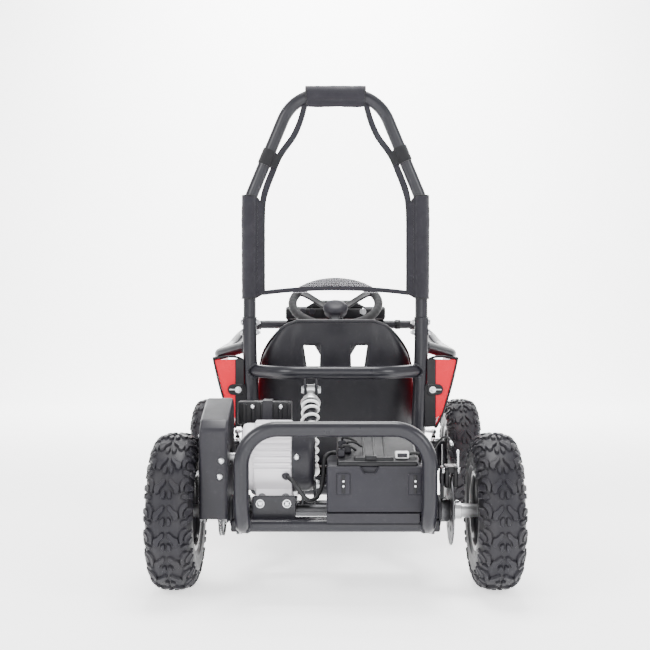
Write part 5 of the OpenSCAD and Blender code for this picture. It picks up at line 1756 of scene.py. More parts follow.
    def pad(self) -> None:
        """The top pad: a stuffed sleeve round the top tube with a skirt over the net's edge.

        Its section is a circle round the tube drawn down into a flat skirt; it swells
        by 1.5 mm between its ends, and a lengthwise seam pulls it in behind.
        """
        xs = np.linspace(-76, 76, 61)
        a = np.linspace(-np.pi, np.pi, 72, endpoint=False)
        r = 21.0
        cy, cz = -120.0, 1133.0
        down = np.clip(-np.sin(a), 0, 1)
        y = cy + r * np.cos(a) * (1 - 0.78 * down**3) - 2.0 * down
        z = cz + r * np.sin(a) - 12.0 * down**4
        ends = 1 - np.abs(xs / 76) ** 8
        swell = (0.94 + 0.06 * ends)[:, None]
        pts = np.stack([np.broadcast_to(xs[:, None], (61, 72)), cy + (y - cy)[None] * swell,
                        cz + (z - cz)[None] * swell], -1)
        out = unit(pts - vec(0, cy, cz) * vec(0, 1, 1) - pts * RIGHT + 1e-9)
        seam = -1.3 * np.exp(-(((a + 2.3) / 0.07) ** 2)) - 1.3 * np.exp(-(((a + 0.85) / 0.07) ** 2))
        folds = 0.9 * ripple(pts * vec(0.5, 1, 1), 46, 31) + 0.5 * ripple(pts * vec(2.4, 1, 1), 40, 12)
        pts = pts + ((folds + seam[None]) * ends[:, None])[..., None] * out
        uv = np.stack(np.broadcast_arrays(xs[:, None], (a * r)[None]), -1) * MM
        p = Part().grid(pts, False, True, uv)
        probe = np.cross(pts[31, 0] - pts[30, 0], pts[30, 1] - pts[30, 0]) @ out[30, 0]
        if probe < 0:
            p = Part().grid(pts[:, ::-1], False, True, uv[:, ::-1])
        p.disc(pts[0], -RIGHT).disc(pts[-1], RIGHT)
        pad = p.make("hoop_top_pad", Body.CHASSIS, "dark_fabric", dressed(CANVAS), ("top_pad",),
                     crease=70)
        q = Part()
        for row in (1, -2):
            q.sweep(pts[row] + 0 * xs[0], 1.5, 8, True)
        q.make("pad_piping", Body.CHASSIS, "dark_fabric", dressed(WEBBING))

    def build(self) -> None:
        """Builds every cloth piece."""
        self.net()
        self.bottom_hem()
        self.pad()
        for right in (True, False):
            self.sleeve(right)
            self.hem(right)


# ------------------------------------------------------------------ rear cradle and drive

@dataclass
class Cradle:
    """The swinging rear frame with its bumper, bearing carriers, bracket and tray."""

    x: float = 187.5
    z: float = 150.0
    pivot: tuple[float, float] = (125.0, -185.0)
    axle: tuple[float, float] = (-520.0, 165.0)
    tube_d: float = 31.0
    bumper_y: float = -669.5
    bumper_top: float = 354.0
    shock_foot: tuple[float, float, float] = (-60.0, -390.0, 200.0)

    def rails(self) -> None:
        """The rails, cross tubes, pivot sleeves, shock cheeks and every bracket."""
        p, z, (px, py) = Part(), self.z, self.pivot
        corners = [(self.x, -600, z), (self.x, -350, z), (px, -250, z), (px, py - 6, z)]
        tube(p, corners, self.tube_d, 60)
        p.turn([(8, -16.5), (17, -16.5), (17, 16.5), (8, 16.5)], vec(px, py, z), RIGHT, 36, 0, True)
        weld_bead(p, vec(px, py, z), -AHEAD, RIGHT, 15.5, 17, 3, 1)
        for y in (-585, -390):
            weld_bead(p, vec(self.x, y, z), -RIGHT, AHEAD, 13.5, 15.5, 3, 1)
        p.both()
        for y in (-585, -390):
            rod(p, (-self.x, y, z), (self.x, y, z), 27)
        fx, fy, fz = self.shock_foot
        cheek = rounded([(fy - 18, z), (fy + 18, z), (fy + 18, fz + 14), (fy - 18, fz + 14)],
                        [3, 3, 14, 14])
        for x in (fx - 16.5, fx + 11):
            p.plate(cheek, x, x + 5.5, SIDE_VIEW, [circle(5.5, fy, fz)])
        face = rounded(slab(-171, -82, z, 209), 5)
        p.plate(face, 592, 598, BACK_VIEW, [circle(5, -155, 196, 20), circle(5, -100, 196, 20)], 1)
        p.box(vec(-171, -597, 182), vec(-82, -470, 188), 2)
        for x in (-171, -86):
            rib = rounded([(-592, 160), (-560, 182), (-592, 182)], 2)
            p.plate(rib, x, x + 4, SIDE_VIEW)
        p.box(vec(-161, -392, z), vec(-139, -388, 391), 1.5)
        p.make("cradle_weldment", Body.CRADLE, "frame_paint", dressed(TUBE_PAINT, WELD), ("cradle",))

    def tray(self) -> None:
        """The battery tray: folded sheet with a lip, slots, legs and bracket bolts."""
        p = Part()
        slots = [rounded(slab(x, x + 70, y, y + 16), 7) for x in (0, 90) for y in (-600, -520, -450)]
        p.plate(rounded(slab(-18, 180, -640, -405), 4), 179, 181, TOP_VIEW, slots, 0.4)
        p.plate(rounded(slab(-18, 170, 161, 181), [4, 4, 1, 1]), 640, 643, BACK_VIEW, edge=0.5)
        for x in (-10, 168):
            for y in (-592, -405):
                p.box(vec(x, y, self.z), vec(x + 4, y + 13, 180), 1)
        for x in (-155, -100):
            p.turn([(0, 0), (8.6, 0), (8.6, 1.4), (0, 1.4)], vec(x, -598, 193), -AHEAD, 36, 1)
            button_head(p, vec(x, -599.4, 193), -AHEAD, 14, 1)
        p.make("battery_tray", Body.CRADLE, "frame_paint", dressed(SHEET_PAINT, ZINC))

    def bumper(self) -> None:
        """The rear bumper: one bent tube, its cross tube and the joints on the rails."""
        half = [(self.x, -600, self.z), (self.x, self.bumper_y, self.z),
                (self.x, self.bumper_y, self.bumper_top)]
        p = Part()
        p.sweep(rounded_path(mirrored(half), [66, 72, 72, 66], 14), self.tube_d / 2, 32)
        rod(p, (-self.x, -625, 153.5), (self.x, -625, 153.5), 26)
        for s in (-1, 1):
            weld_bead(p, vec(s * self.x, -625, 153.5), vec(-s, 0, 0), unit(vec(0, 1, -0.3)), 13,
                      15.5, 3, 1)
            p.turn([(15.5, 0), (17.6, 0.6), (17.6, 13), (15.5, 14)], vec(s * self.x, -602, self.z),
                   AHEAD, 36)
        p.make("rear_bumper_hoop", Body.CRADLE, "frame_paint", dressed(TUBE_PAINT, WELD),
               ("rear_bumper",))

    def carriers(self) -> None:
        """Cast bearing carriers with a pressed insert, a grease nipple and four bolts each."""
        p, (y, z) = Part(), self.axle
        ring = [(20, 182), (33, 182), (33, 186), (30.5, 189), (30.5, 215), (33, 218), (33, 222),
                (20, 222)]
        p.turn(ring, vec(0, y, z), RIGHT, 48, 0, True)
        p.turn([(12.8, 184), (21, 184), (21, 220), (12.8, 220)], vec(0, y, z), RIGHT, 40, 1, True)
        p.box(vec(184, y - 33, 125), vec(220, y + 33, 150), 4)
        for dy in (-24, 24):
            hex_head(p, vec(202, y + dy, 150), UP, 13, 6, 18, 1)
            hex_head(p, vec(202, y + dy, 125), -UP, 13, 5, 0, 1)
        rod(p, (202, y - 12, z + 27), (202, y - 17, z + 37), 6, 12, 1)
        p.both().make("axle_bearing_blocks", Body.CRADLE, "cast_aluminium", dressed(SHEET_PAINT, STEEL),
                      ("bearing_carriers",))

    def build(self) -> None:
        """Builds the cradle's pieces."""
        for step in (self.rails, self.tray, self.bumper, self.carriers):
            step()


@dataclass
class Drive:
    """Motor, leads, controller, sprockets, chain, guard and the live axle."""

    motor_d: float = 155.0
    motor: tuple[float, float] = (-530.0, 281.0)
    axle: tuple[float, float] = (-520.0, 165.0)
    chain_x: float = -240.0
    pitch: float = 8.0
    big: int = 39
    small: int = 14
    axle_d: float = 25.0
    track: float = 674.0

    def body(self) -> None:
        """The finned motor case: at angle a its radius is the case's, less the grooves
        between fins over the upper part; the fins fade out towards a smooth belly."""
        p, (y, z), r = Part(), self.motor, self.motor_d / 2
        a = np.linspace(0, 2 * np.pi, 480, endpoint=False)
        up = np.cos(a)
        fins = np.clip((up + 0.30) * 7, 0, 1)
        groove = np.clip(1.5 * np.cos(a * 40) + 0.2, 0, 1) * fins
        radius = r - 0.6 - 5.0 * groove
        xs = np.array([-170, -168.5, -167, -150, -130, -110, -93, -91.5, -90], float)
        ease = np.array([5.5, 1.6, 0, 0, 0, 0, 0, 1.6, 5.5])
        rr = np.minimum(radius[None], r - 0.6 - ease[:, None])
        pts = np.stack([np.broadcast_to(xs[:, None], rr.shape), y - rr * np.sin(a),
                        z + rr * np.cos(a)], -1)
        probe = np.cross(pts[4, 0] - pts[3, 0], pts[3, 1] - pts[3, 0])[2]
        p.grid(pts if probe > 0 else pts[:, ::-1], False, True)
        p.disc(pts[0], -RIGHT).disc(pts[-1], RIGHT)
        cap = [(0, 0), (62, 0), (68, 3), (70.5, 9), (70.5, 26), (0, 26)]
        p.turn(cap, vec(-196, y, z), RIGHT, 64)
        p.turn([(10, -2), (22, -2), (24, 0), (10, 0)], vec(-196, y, z), RIGHT, 40)
        for k in range(4):
            b = math.pi / 4 + k * math.pi / 2
            hex_head(p, vec(-196, y + 52 * math.cos(b), z + 52 * math.sin(b)), -RIGHT, 8, 4, 11, 1)
        foot = rounded([(y - 55, 188), (y + 55, 188), (y + 55, 200), (y + 44, 226), (y - 44, 226),
                        (y - 55, 200)], 3)
        p.plate(foot, -165, -90.2, SIDE_VIEW, edge=1.5)
        for x in (-152, -103):
            p.box(vec(x - 7, y - 58, 188.5), vec(x + 7, y - 50, 201), 2.5)
            p.turn([(0, 0), (9, 0), (9, 2), (0, 2)], vec(x, y - 54, 203), vec(0, -1, 0.3), 24, 2)
            hex_head(p, vec(x, y - 54, 203), unit(vec(0, -1, 0.3)), 8, 5, 12, 1)
        p.make("motor_case", Body.CRADLE, "cast_aluminium", dressed(MOTOR_SILVER, ZINC, DARK_STEEL),
               ("motor_body",))

    def bell(self) -> None:
        """The black end bell with its stepped rim, cooling holes, screws and gland."""
        p, (y, z) = Part(), self.motor
        shell = [(0, -90), (73.4, -90), (73.4, -84), (72.4, -82), (72.4, -58), (70, -50), (64, -45),
                 (52, -44),
                 (30, -44), (28, -46), (12, -46), (10, -44), (0, -44)]
        p.turn(shell, vec(0, y, z), RIGHT, 72)
        for k in range(3):
            b = math.radians(100 + 120 * k)
            button_head(p, vec(-44, y + 58 * math.cos(b), z + 58 * math.sin(b)), RIGHT, 9, 1)
        for k in range(8):
            b = k * math.pi / 4
            c = vec(-44.5, y + 40 * math.cos(b), z + 40 * math.sin(b))
            p.turn([(0, 0), (6, 0), (6, 0.9), (4.8, 1.2), (4.8, 0.4), (0, 0.4)], c, RIGHT, 20)
        button_head(p, vec(-80, y - 72.5, z + 8), vec(0, -1, 0.1), 12, 1)
        gland = [(0, 0), (9, 0), (9, 8), (7.5, 10), (7.5, 17), (5.2, 21), (4.6, 21), (0, 21)]
        p.turn(gland, vec(-103, -592, 252), unit(vec(0.15, -1, -0.12)), 28)
        p.make("motor_end_cover", Body.CRADLE, "black_plastic", dressed(SHEET_PAINT, ZINC),
               ("motor_end_bell",))

    def leads(self) -> None:
        """The lead from the motor to the battery, with a sleeve and its plug."""
        route = [(-100, -604, 250), (-96, -614, 249), (-88, -624, 244), (-78, -629, 232),
                 (-68, -629, 218),
                 (-58, -623, 206), (-48, -612, 202), (-38, -600, 208), (-30, -588, 222),
                 (-26, -577, 242),
                 (-25, -566, 262), (-24, -556, 277), (-17, -547, 287), (-8, -541, 290), (1, -540, 290)]
        p = Part().sweep(spline(route, 120), 4.5, 16)
        for at in (0.18, 0.5, 0.82):
            c = spline(route, 120)
            i = int(at * 119)
            p.turn([(4.5, -3), (5.4, -2.4), (5.4, 2.4), (4.5, 3)], c[i], c[i + 1] - c[i], 16)
        p.make("motor_lead", Body.CRADLE, "black_plastic", dressed(CABLE_SKIN), ("motor_leads",))

    def controller(self) -> None:
        """The controller: a finned case with a strap, screws and cable glands."""
        p = Part()
        p.box(vec(-216, -436, 339), vec(-97, -393, 389), 3.5)
        for i in range(6):
            x = -206 + 20 * i
            p.box(vec(x, -440, 343), vec(x + 9, -430, 385), 2)
        p.box(vec(-161, -441.5, 334), vec(-139, -438.5, 392), 1, 1)
        p.box(vec(-161, -440, 389.5), vec(-139, -389, 392), 1, 1)
        for x in (-183, -121):
            button_head(p, vec(x, -440, 378), -AHEAD, 10, 2)
        for x in (-205, -190, -112):
            p.turn([(0, 0), (6, 0), (6, 7), (4, 12), (0, 12)], vec(x, -415, 339), -UP, 20)
        p.make("motor_controller", Body.CRADLE, "black_plastic", dressed(BLACK_TRIM, SHEET_PAINT, ZINC),
               ("controller",))

    def toothed(self, teeth: int, bore: float, holes: int) -> tuple[Array, list[Array]]:
        """A sprocket's outline and holes: between pitch circle - 2.4 and + 2.6, teeth as
        a flattened cosine of the angle."""
        r = self.pitch / (2 * math.sin(math.pi / teeth))
        a = np.linspace(0, 2 * np.pi, teeth * 10, endpoint=False)
        wave = np.clip(1.5 * np.cos(a * teeth), -1, 1)
        radius = r + 0.1 + 2.5 * wave
        loop = np.stack([radius * np.cos(a), radius * np.sin(a)], -1)
        openings = [circle(bore, steps=32)]
        for k in range(holes):
            b = 2 * math.pi * k / holes
            openings.append(circle(6.5, 0.72 * r * math.cos(b), 0.72 * r * math.sin(b), 20))
        return loop, openings

    def sprockets(self) -> None:
        """The axle's sprocket on its hub, and the motor's sprocket on its shaft."""
        y, z = self.axle
        loop, holes = self.toothed(self.big, 12.6, 6)
        p = Part().plate(loop, -1.6, 1.6, Place((self.chain_x, y, z), (0, 1, 0), (0, 0, 1)), holes, 0.5)
        hub = [(12.6, -10), (23, -10), (24, -9), (24, -2), (20, 0), (24, 2), (24, 11), (23, 12),
               (12.6, 12)]
        p.turn(hub, vec(self.chain_x, y, z), RIGHT, 40, 0, True)
        for k in range(3):
            b = 2 * math.pi * k / 3 + 0.5
            hex_head(p, vec(self.chain_x - 2, y + 18 * math.cos(b), z + 18 * math.sin(b)), -RIGHT, 7,
                     3, 0, 1)
        p.make("axle_sprocket", Body.AXLE, "steel", dressed(STEEL, ZINC), ("sprocket",))
        y, z = self.motor
        loop, holes = self.toothed(self.small, 8.6, 0)
        q = Part().plate(loop, -1.6, 1.6, Place((self.chain_x, y, z), (0, 1, 0), (0, 0, 1)), holes, 0.4)
        rod(q, (self.chain_x - 6, y, z), (-197, y, z), 17, 28)
        rod(q, (self.chain_x + 3, y, z), (self.chain_x + 9, y, z), 26, 28)
        hex_head(q, vec(self.chain_x - 6, y, z), -RIGHT, 13, 5, 18, 1)
        q.make("motor_pinion", Body.MOTOR, "steel", dressed(STEEL, ZINC), ("motor_sprocket",))

    def loop(self, r_big: float, r_small: float, count: int) -> Array:
        """Points evenly along a belt line round two circles, as (y, z).

        The straights touch both circles where the normal leans by
        acos((R - r) / distance) from the line between their middles.
        """
        a, b = np.array(self.axle), np.array(self.motor)
        d = float(np.linalg.norm(b - a))
        lean = math.acos((r_big - r_small) / d)
        base = math.atan2(*(b - a)[::-1])
        t1 = np.linspace(base + lean, base + 2 * math.pi - lean, 400)
        t2 = np.linspace(base - lean, base + lean, 200)
        one = a + r_big * np.stack([np.cos(t1), np.sin(t1)], -1)
        two = b + r_small * np.stack([np.cos(t2), np.sin(t2)], -1)
        path = np.vstack([one, two, one[:1]])
        along = np.concatenate([[0], np.cumsum(np.linalg.norm(np.diff(path, axis=0), axis=1))])
        s = np.linspace(0, along[-1], count, endpoint=False)
        return np.stack([np.interp(s, along, path[:, k]) for k in (0, 1)], -1)

    def chain(self) -> None:
        """The roller chain: rollers at every pin, and inner and outer plates by turns."""
        radii = [self.pitch / (2 * math.sin(math.pi / n)) for n in (self.big, self.small)]
        fine = self.loop(radii[0], radii[1], 2000)
        length = float(np.linalg.norm(np.diff(np.vstack([fine, fine[:1]]), axis=0), axis=1).sum())
        count = 2 * round(length / self.pitch / 2)
        pins = self.loop(radii[0], radii[1], count)
        p, x = Part(), self.chain_x
        ring = circle(2.4, steps=8)
        n = len(ring)
        index = np.arange(n)
        wall = np.stack([index, n + index, n + (index + 1) % n, (index + 1) % n], -1)
        tops = np.vstack([np.stack([np.zeros(n - 2, int), index[1:-1], index[2:]], -1),
                          np.stack([np.zeros(n - 2, int) + n, n + index[2:], n + index[1:-1]], -1)])
        pts = np.stack([np.concatenate([np.stack([np.full(n, x - 4.4), c[0] + ring[:, 0],
                                                  c[1] + ring[:, 1]], -1),
                                        np.stack([np.full(n, x + 4.4), c[0] + ring[:, 0],
                                                  c[1] + ring[:, 1]], -1)])
                        for c in pins])
        shift = (np.arange(count) * 2 * n)[:, None, None]
        p.add(pts.reshape(-1, 3), (wall[None, :, ::-1] + shift).reshape(-1, 4))
        p.faces.append(((tops[None, :, ::-1] + shift).reshape(-1, 3) + p.count - count * 2 * n, 0))
        half = np.linspace(-np.pi / 2, np.pi / 2, 5)
        for k in range(count):
            a, b = pins[k], pins[(k + 1) % count]
            t = unit(b - a)
            m = vec(-t[1], t[0])
            end = b + 3.3 * (np.cos(half)[:, None] * t + np.sin(half)[:, None] * m)
            start = a + 3.3 * (-np.cos(half)[:, None] * t - np.sin(half)[:, None] * m)
            outline = np.vstack([end, start])
            gap = 3.4 if k % 2 else 2.3
            for s in (-1, 1):
                x0 = x + s * gap
                lo, hi = min(x0, x0 + s), max(x0, x0 + s)
                self.prism(p, outline, lo, hi)
        p.make("roller_chain", Body.CRADLE, "steel", dressed(DARK_STEEL), ("drive_chain",), merge=False)

    @staticmethod
    def prism(p: Part, outline: Array, x0: float, x1: float) -> None:
        """A convex (y, z) outline, anticlockwise, between x0 and x1."""
        n = len(outline)
        k = np.arange(n)
        low = np.column_stack([np.full(n, x0), outline])
        high = np.column_stack([np.full(n, x1), outline])
        wall = np.stack([k, (k + 1) % n, n + (k + 1) % n, n + k], -1)
        fan = np.stack([np.zeros(n - 2, int), k[1:-1], k[2:]], -1)
        p.add(np.vstack([low, high]), wall)
        p.faces.append((fan[:, ::-1] + p.count - 2 * n, 0))
        p.faces.append((fan + n + p.count - 2 * n, 0))

    def guard(self) -> None:
        """The chain guard: two side plates and a folded rim that wraps over the drive."""
        rim = [(-604, 162), (-604, 345), (-582, 364), (-468, 402), (-445, 384), (-445, 152)]
        path = rounded_path(np.column_stack([np.zeros(6), rim]), [16, 22, 16, 14], 8)[:, 1:]
        y, z = self.axle
        p = Part()
        bend = np.linspace(0, np.pi / 2, 5)
        sec_x = np.concatenate([-280 + 6 * (1 - np.sin(bend[::-1])), -222 - 6 * (1 - np.sin(bend))])
        sec_d = np.concatenate([6 * (1 - np.cos(bend[::-1])), 6 * (1 - np.cos(bend))])
        t = unit(np.gradient(path, axis=0))
        out = np.stack([-t[:, 1], t[:, 0]], -1)
        skin = path[:, None] - sec_d[None, :, None] * out[:, None]
        pts = np.stack([np.broadcast_to(sec_x, skin.shape[:2]), skin[..., 0], skin[..., 1]], -1)
        probe = np.cross(pts[1, 4] - pts[0, 4], pts[0, 5] - pts[0, 4])[1]
        p.grid(pts if probe < 0 else pts[:, ::-1])
        flat = path - 6 * out
        loop = np.vstack([flat, [(-590, 152)]])
        if signed_area(loop) < 0:
            loop = loop[::-1]
        p.plate(loop, -280, -278, SIDE_VIEW, [circle(27, y, z, 40)], 0.2)
        p.plate(loop, -224, -222, SIDE_VIEW,
                [circle(27, y, z, 40), circle(20, self.motor[0], self.motor[1], 40)], 0.2)
        p.sweep(pts[:, 0], 0.9, 6)
        for yy, zz in ((-588, 330), (-588, 200), (-462, 362), (-462, 190)):
            button_head(p, vec(-280, yy, zz), -RIGHT, 11, 1)
        for x, at in ((-238, 249), (-234.5, 281.5)):
            button_head(p, vec(x, -604, at), -AHEAD, 13.5, 1)
        p.make("chain_cover", Body.CRADLE, "dark_sheet", dressed(SHEET_PAINT, ZINC), ("chain_guard",),
               crease=40)

    def live_axle(self) -> None:
        """The rear axle: shaft, flanged wheel hubs, collars and end nuts."""
        y, z = self.axle
        p, half = Part(), self.track / 2
        end = half + 45
        rod(p, (-end, y, z), (end, y, z), self.axle_d, 32, 2)
        q = Part()
        q.turn([(12, 252), (17, 252), (18, 253), (18, 266), (17, 267), (12, 267)], vec(0, y, z), RIGHT,
               40, 0, True)
        hub = [(12, 267), (14.6, 267), (14.6, 290), (13.8, 293), (13.8, half - 14), (20, half),
               (48, half), (48, half + 5),
               (15.5, half + 5), (15.5, half + 30), (13, half + 33), (12, half + 33)]
        q.turn(hub, vec(0, y, z), RIGHT, 48, 0, True)
        hex_head(q, vec(259, y, z + 17), UP, 8, 4, 0, 1)
        hex_head(q, vec(half + 33, y, z), RIGHT, 24, 10, 29, 1)
        p.join(q.both())
        p.make("live_axle", Body.AXLE, "steel", dressed(STEEL, ZINC, DARK_STEEL), ("rear_axle",))

    def build(self) -> None:
        """Builds the drive's pieces."""
        for step in (self.body, self.bell, self.leads, self.controller, self.sprockets, self.chain,
                     self.guard,
                     self.live_axle):
            step()


# ------------------------------------------------------------------ battery, brake, shock, pedals

@dataclass
class Battery:
    """The battery's case, its sloped lid, latches, plugs and side lead."""

    x: tuple[float, float] = (-18.0, 180.0)
    y: tuple[float, float] = (-640.0, -410.0)
    z: tuple[float, float] = (181.0, 275.0)

    def case(self) -> None:
        """The case: ribbed sides, a notched rear face and two latches."""
        p, (x0, x1), (y0, y1), (z0, z1) = Part(), self.x, self.y, self.z
        face = rounded([(x0, z0), (x1, z0), (x1, z1), (88, z1), (80, z1 - 13), (58, z1 - 13), (50, z1),
                        (x0, z1)],
                       [6, 6, 4, 3, 3, 3, 3, 4])
        p.plate(face, -y0 - 12, -y0 - 1.5, BACK_VIEW, edge=2.5)
        p.box(vec(x0 + 0.5, y0 + 11, z0), vec(x1 - 0.5, y1, z1), 4)
        p.box(vec(x0, y0 + 4, z1 - 17), vec(x0 + 3, y1 - 3, z1 - 3), 1.3)
        p.box(vec(x1 - 3, y0 + 4, z1 - 17), vec(x1, y1 - 3, z1 - 3), 1.3)
        for k in range(5):
            yy = y0 + 32 + 42 * k
            p.box(vec(x0 - 0.2, yy, z0 + 8), vec(x0 + 3, yy + 8, z1 - 18), 1.2)
            p.box(vec(x1 - 3, yy, z0 + 8), vec(x1 + 0.2, yy + 8, z1 - 18), 1.2)
        for x in (2, 147):
            p.box(vec(x, y0 - 1.8, 218), vec(x + 28, y0 + 6, 262), 3)
            p.box(vec(x + 10, y0 - 2.4, 221), vec(x + 18, y0 + 4, 259), 1.5, 1)
            for z in (236, 246):
                rod(p, (x + 14, y0 - 2, z), (x + 14, y0 - 4.5, z), 4.6, 16, 2)
        p.make("battery_box", Body.CRADLE, "black_plastic", dressed(CASE_PLASTIC, BLACK_TRIM, ZINC),
               ("battery_case",))

    def lid(self) -> None:
        """The sloped lid with ribs, a catch, plugs at the left and a pale socket at the right."""
        p, (y0, y1) = Part(), self.y
        side = rounded([(y0 + 8, 275), (y1 - 5, 275), (y1 - 5, 330), (y1 - 20, 330), (y0 + 8, 284)],
                       [1, 1, 6, 6, 4])
        p.plate(side, 3, 167, SIDE_VIEW, edge=3)
        a, b = vec(0, y0 + 24, 288), vec(0, y1 - 34, 326)
        for x in (58, 80, 102):
            p.sweep(np.array([a + vec(x, 0, 0), b + vec(x, 0, 0)]), 2.6, 10)
        p.box(vec(38, y0 + 14, 282), vec(118, y0 + 24, 292), 2.5)
        p.box(vec(60, y0 + 12, 286), vec(84, y0 + 28, 295), 2.5)
        for k, (x, y, size) in enumerate(((12, -600, 15), (24, -578, 17), (14, -552, 16))):
            top = 288 + 0.24 * (y + 632)
            p.box(vec(x - size / 2, y - size / 2, top - 6),
                  vec(x + size / 2, y + size / 2, top + 11), 3, 1)
            q = spline([(x, y, top + 8), (x + 2, y - 8, top + 17), (x + 16, y - 6, top + 17 - k),
                        (x + 30, y + 10, top + 6)], 24)
            p.sweep(q, 2.6, 10, finish=3)
        p.box(vec(122, -618, 288), vec(150, -596, 302), 3, 2)
        p.box(vec(126, -621, 291), vec(146, -615, 299), 1.5, 1)
        lead = spline([(150, -606, 296), (160, -606, 298), (170, -600, 295), (176, -585, 286),
                       (177, -565, 276)], 32)
        p.sweep(lead, 3.2, 12, finish=3)
        p.make("battery_cover", Body.CRADLE, "black_plastic",
               dressed(BLACK_TRIM, CASE_PLASTIC, SPRING_WHITE, CABLE_SKIN),
               ("battery_lid",))

    def build(self) -> None:
        """Builds the battery."""
        self.case()
        self.lid()


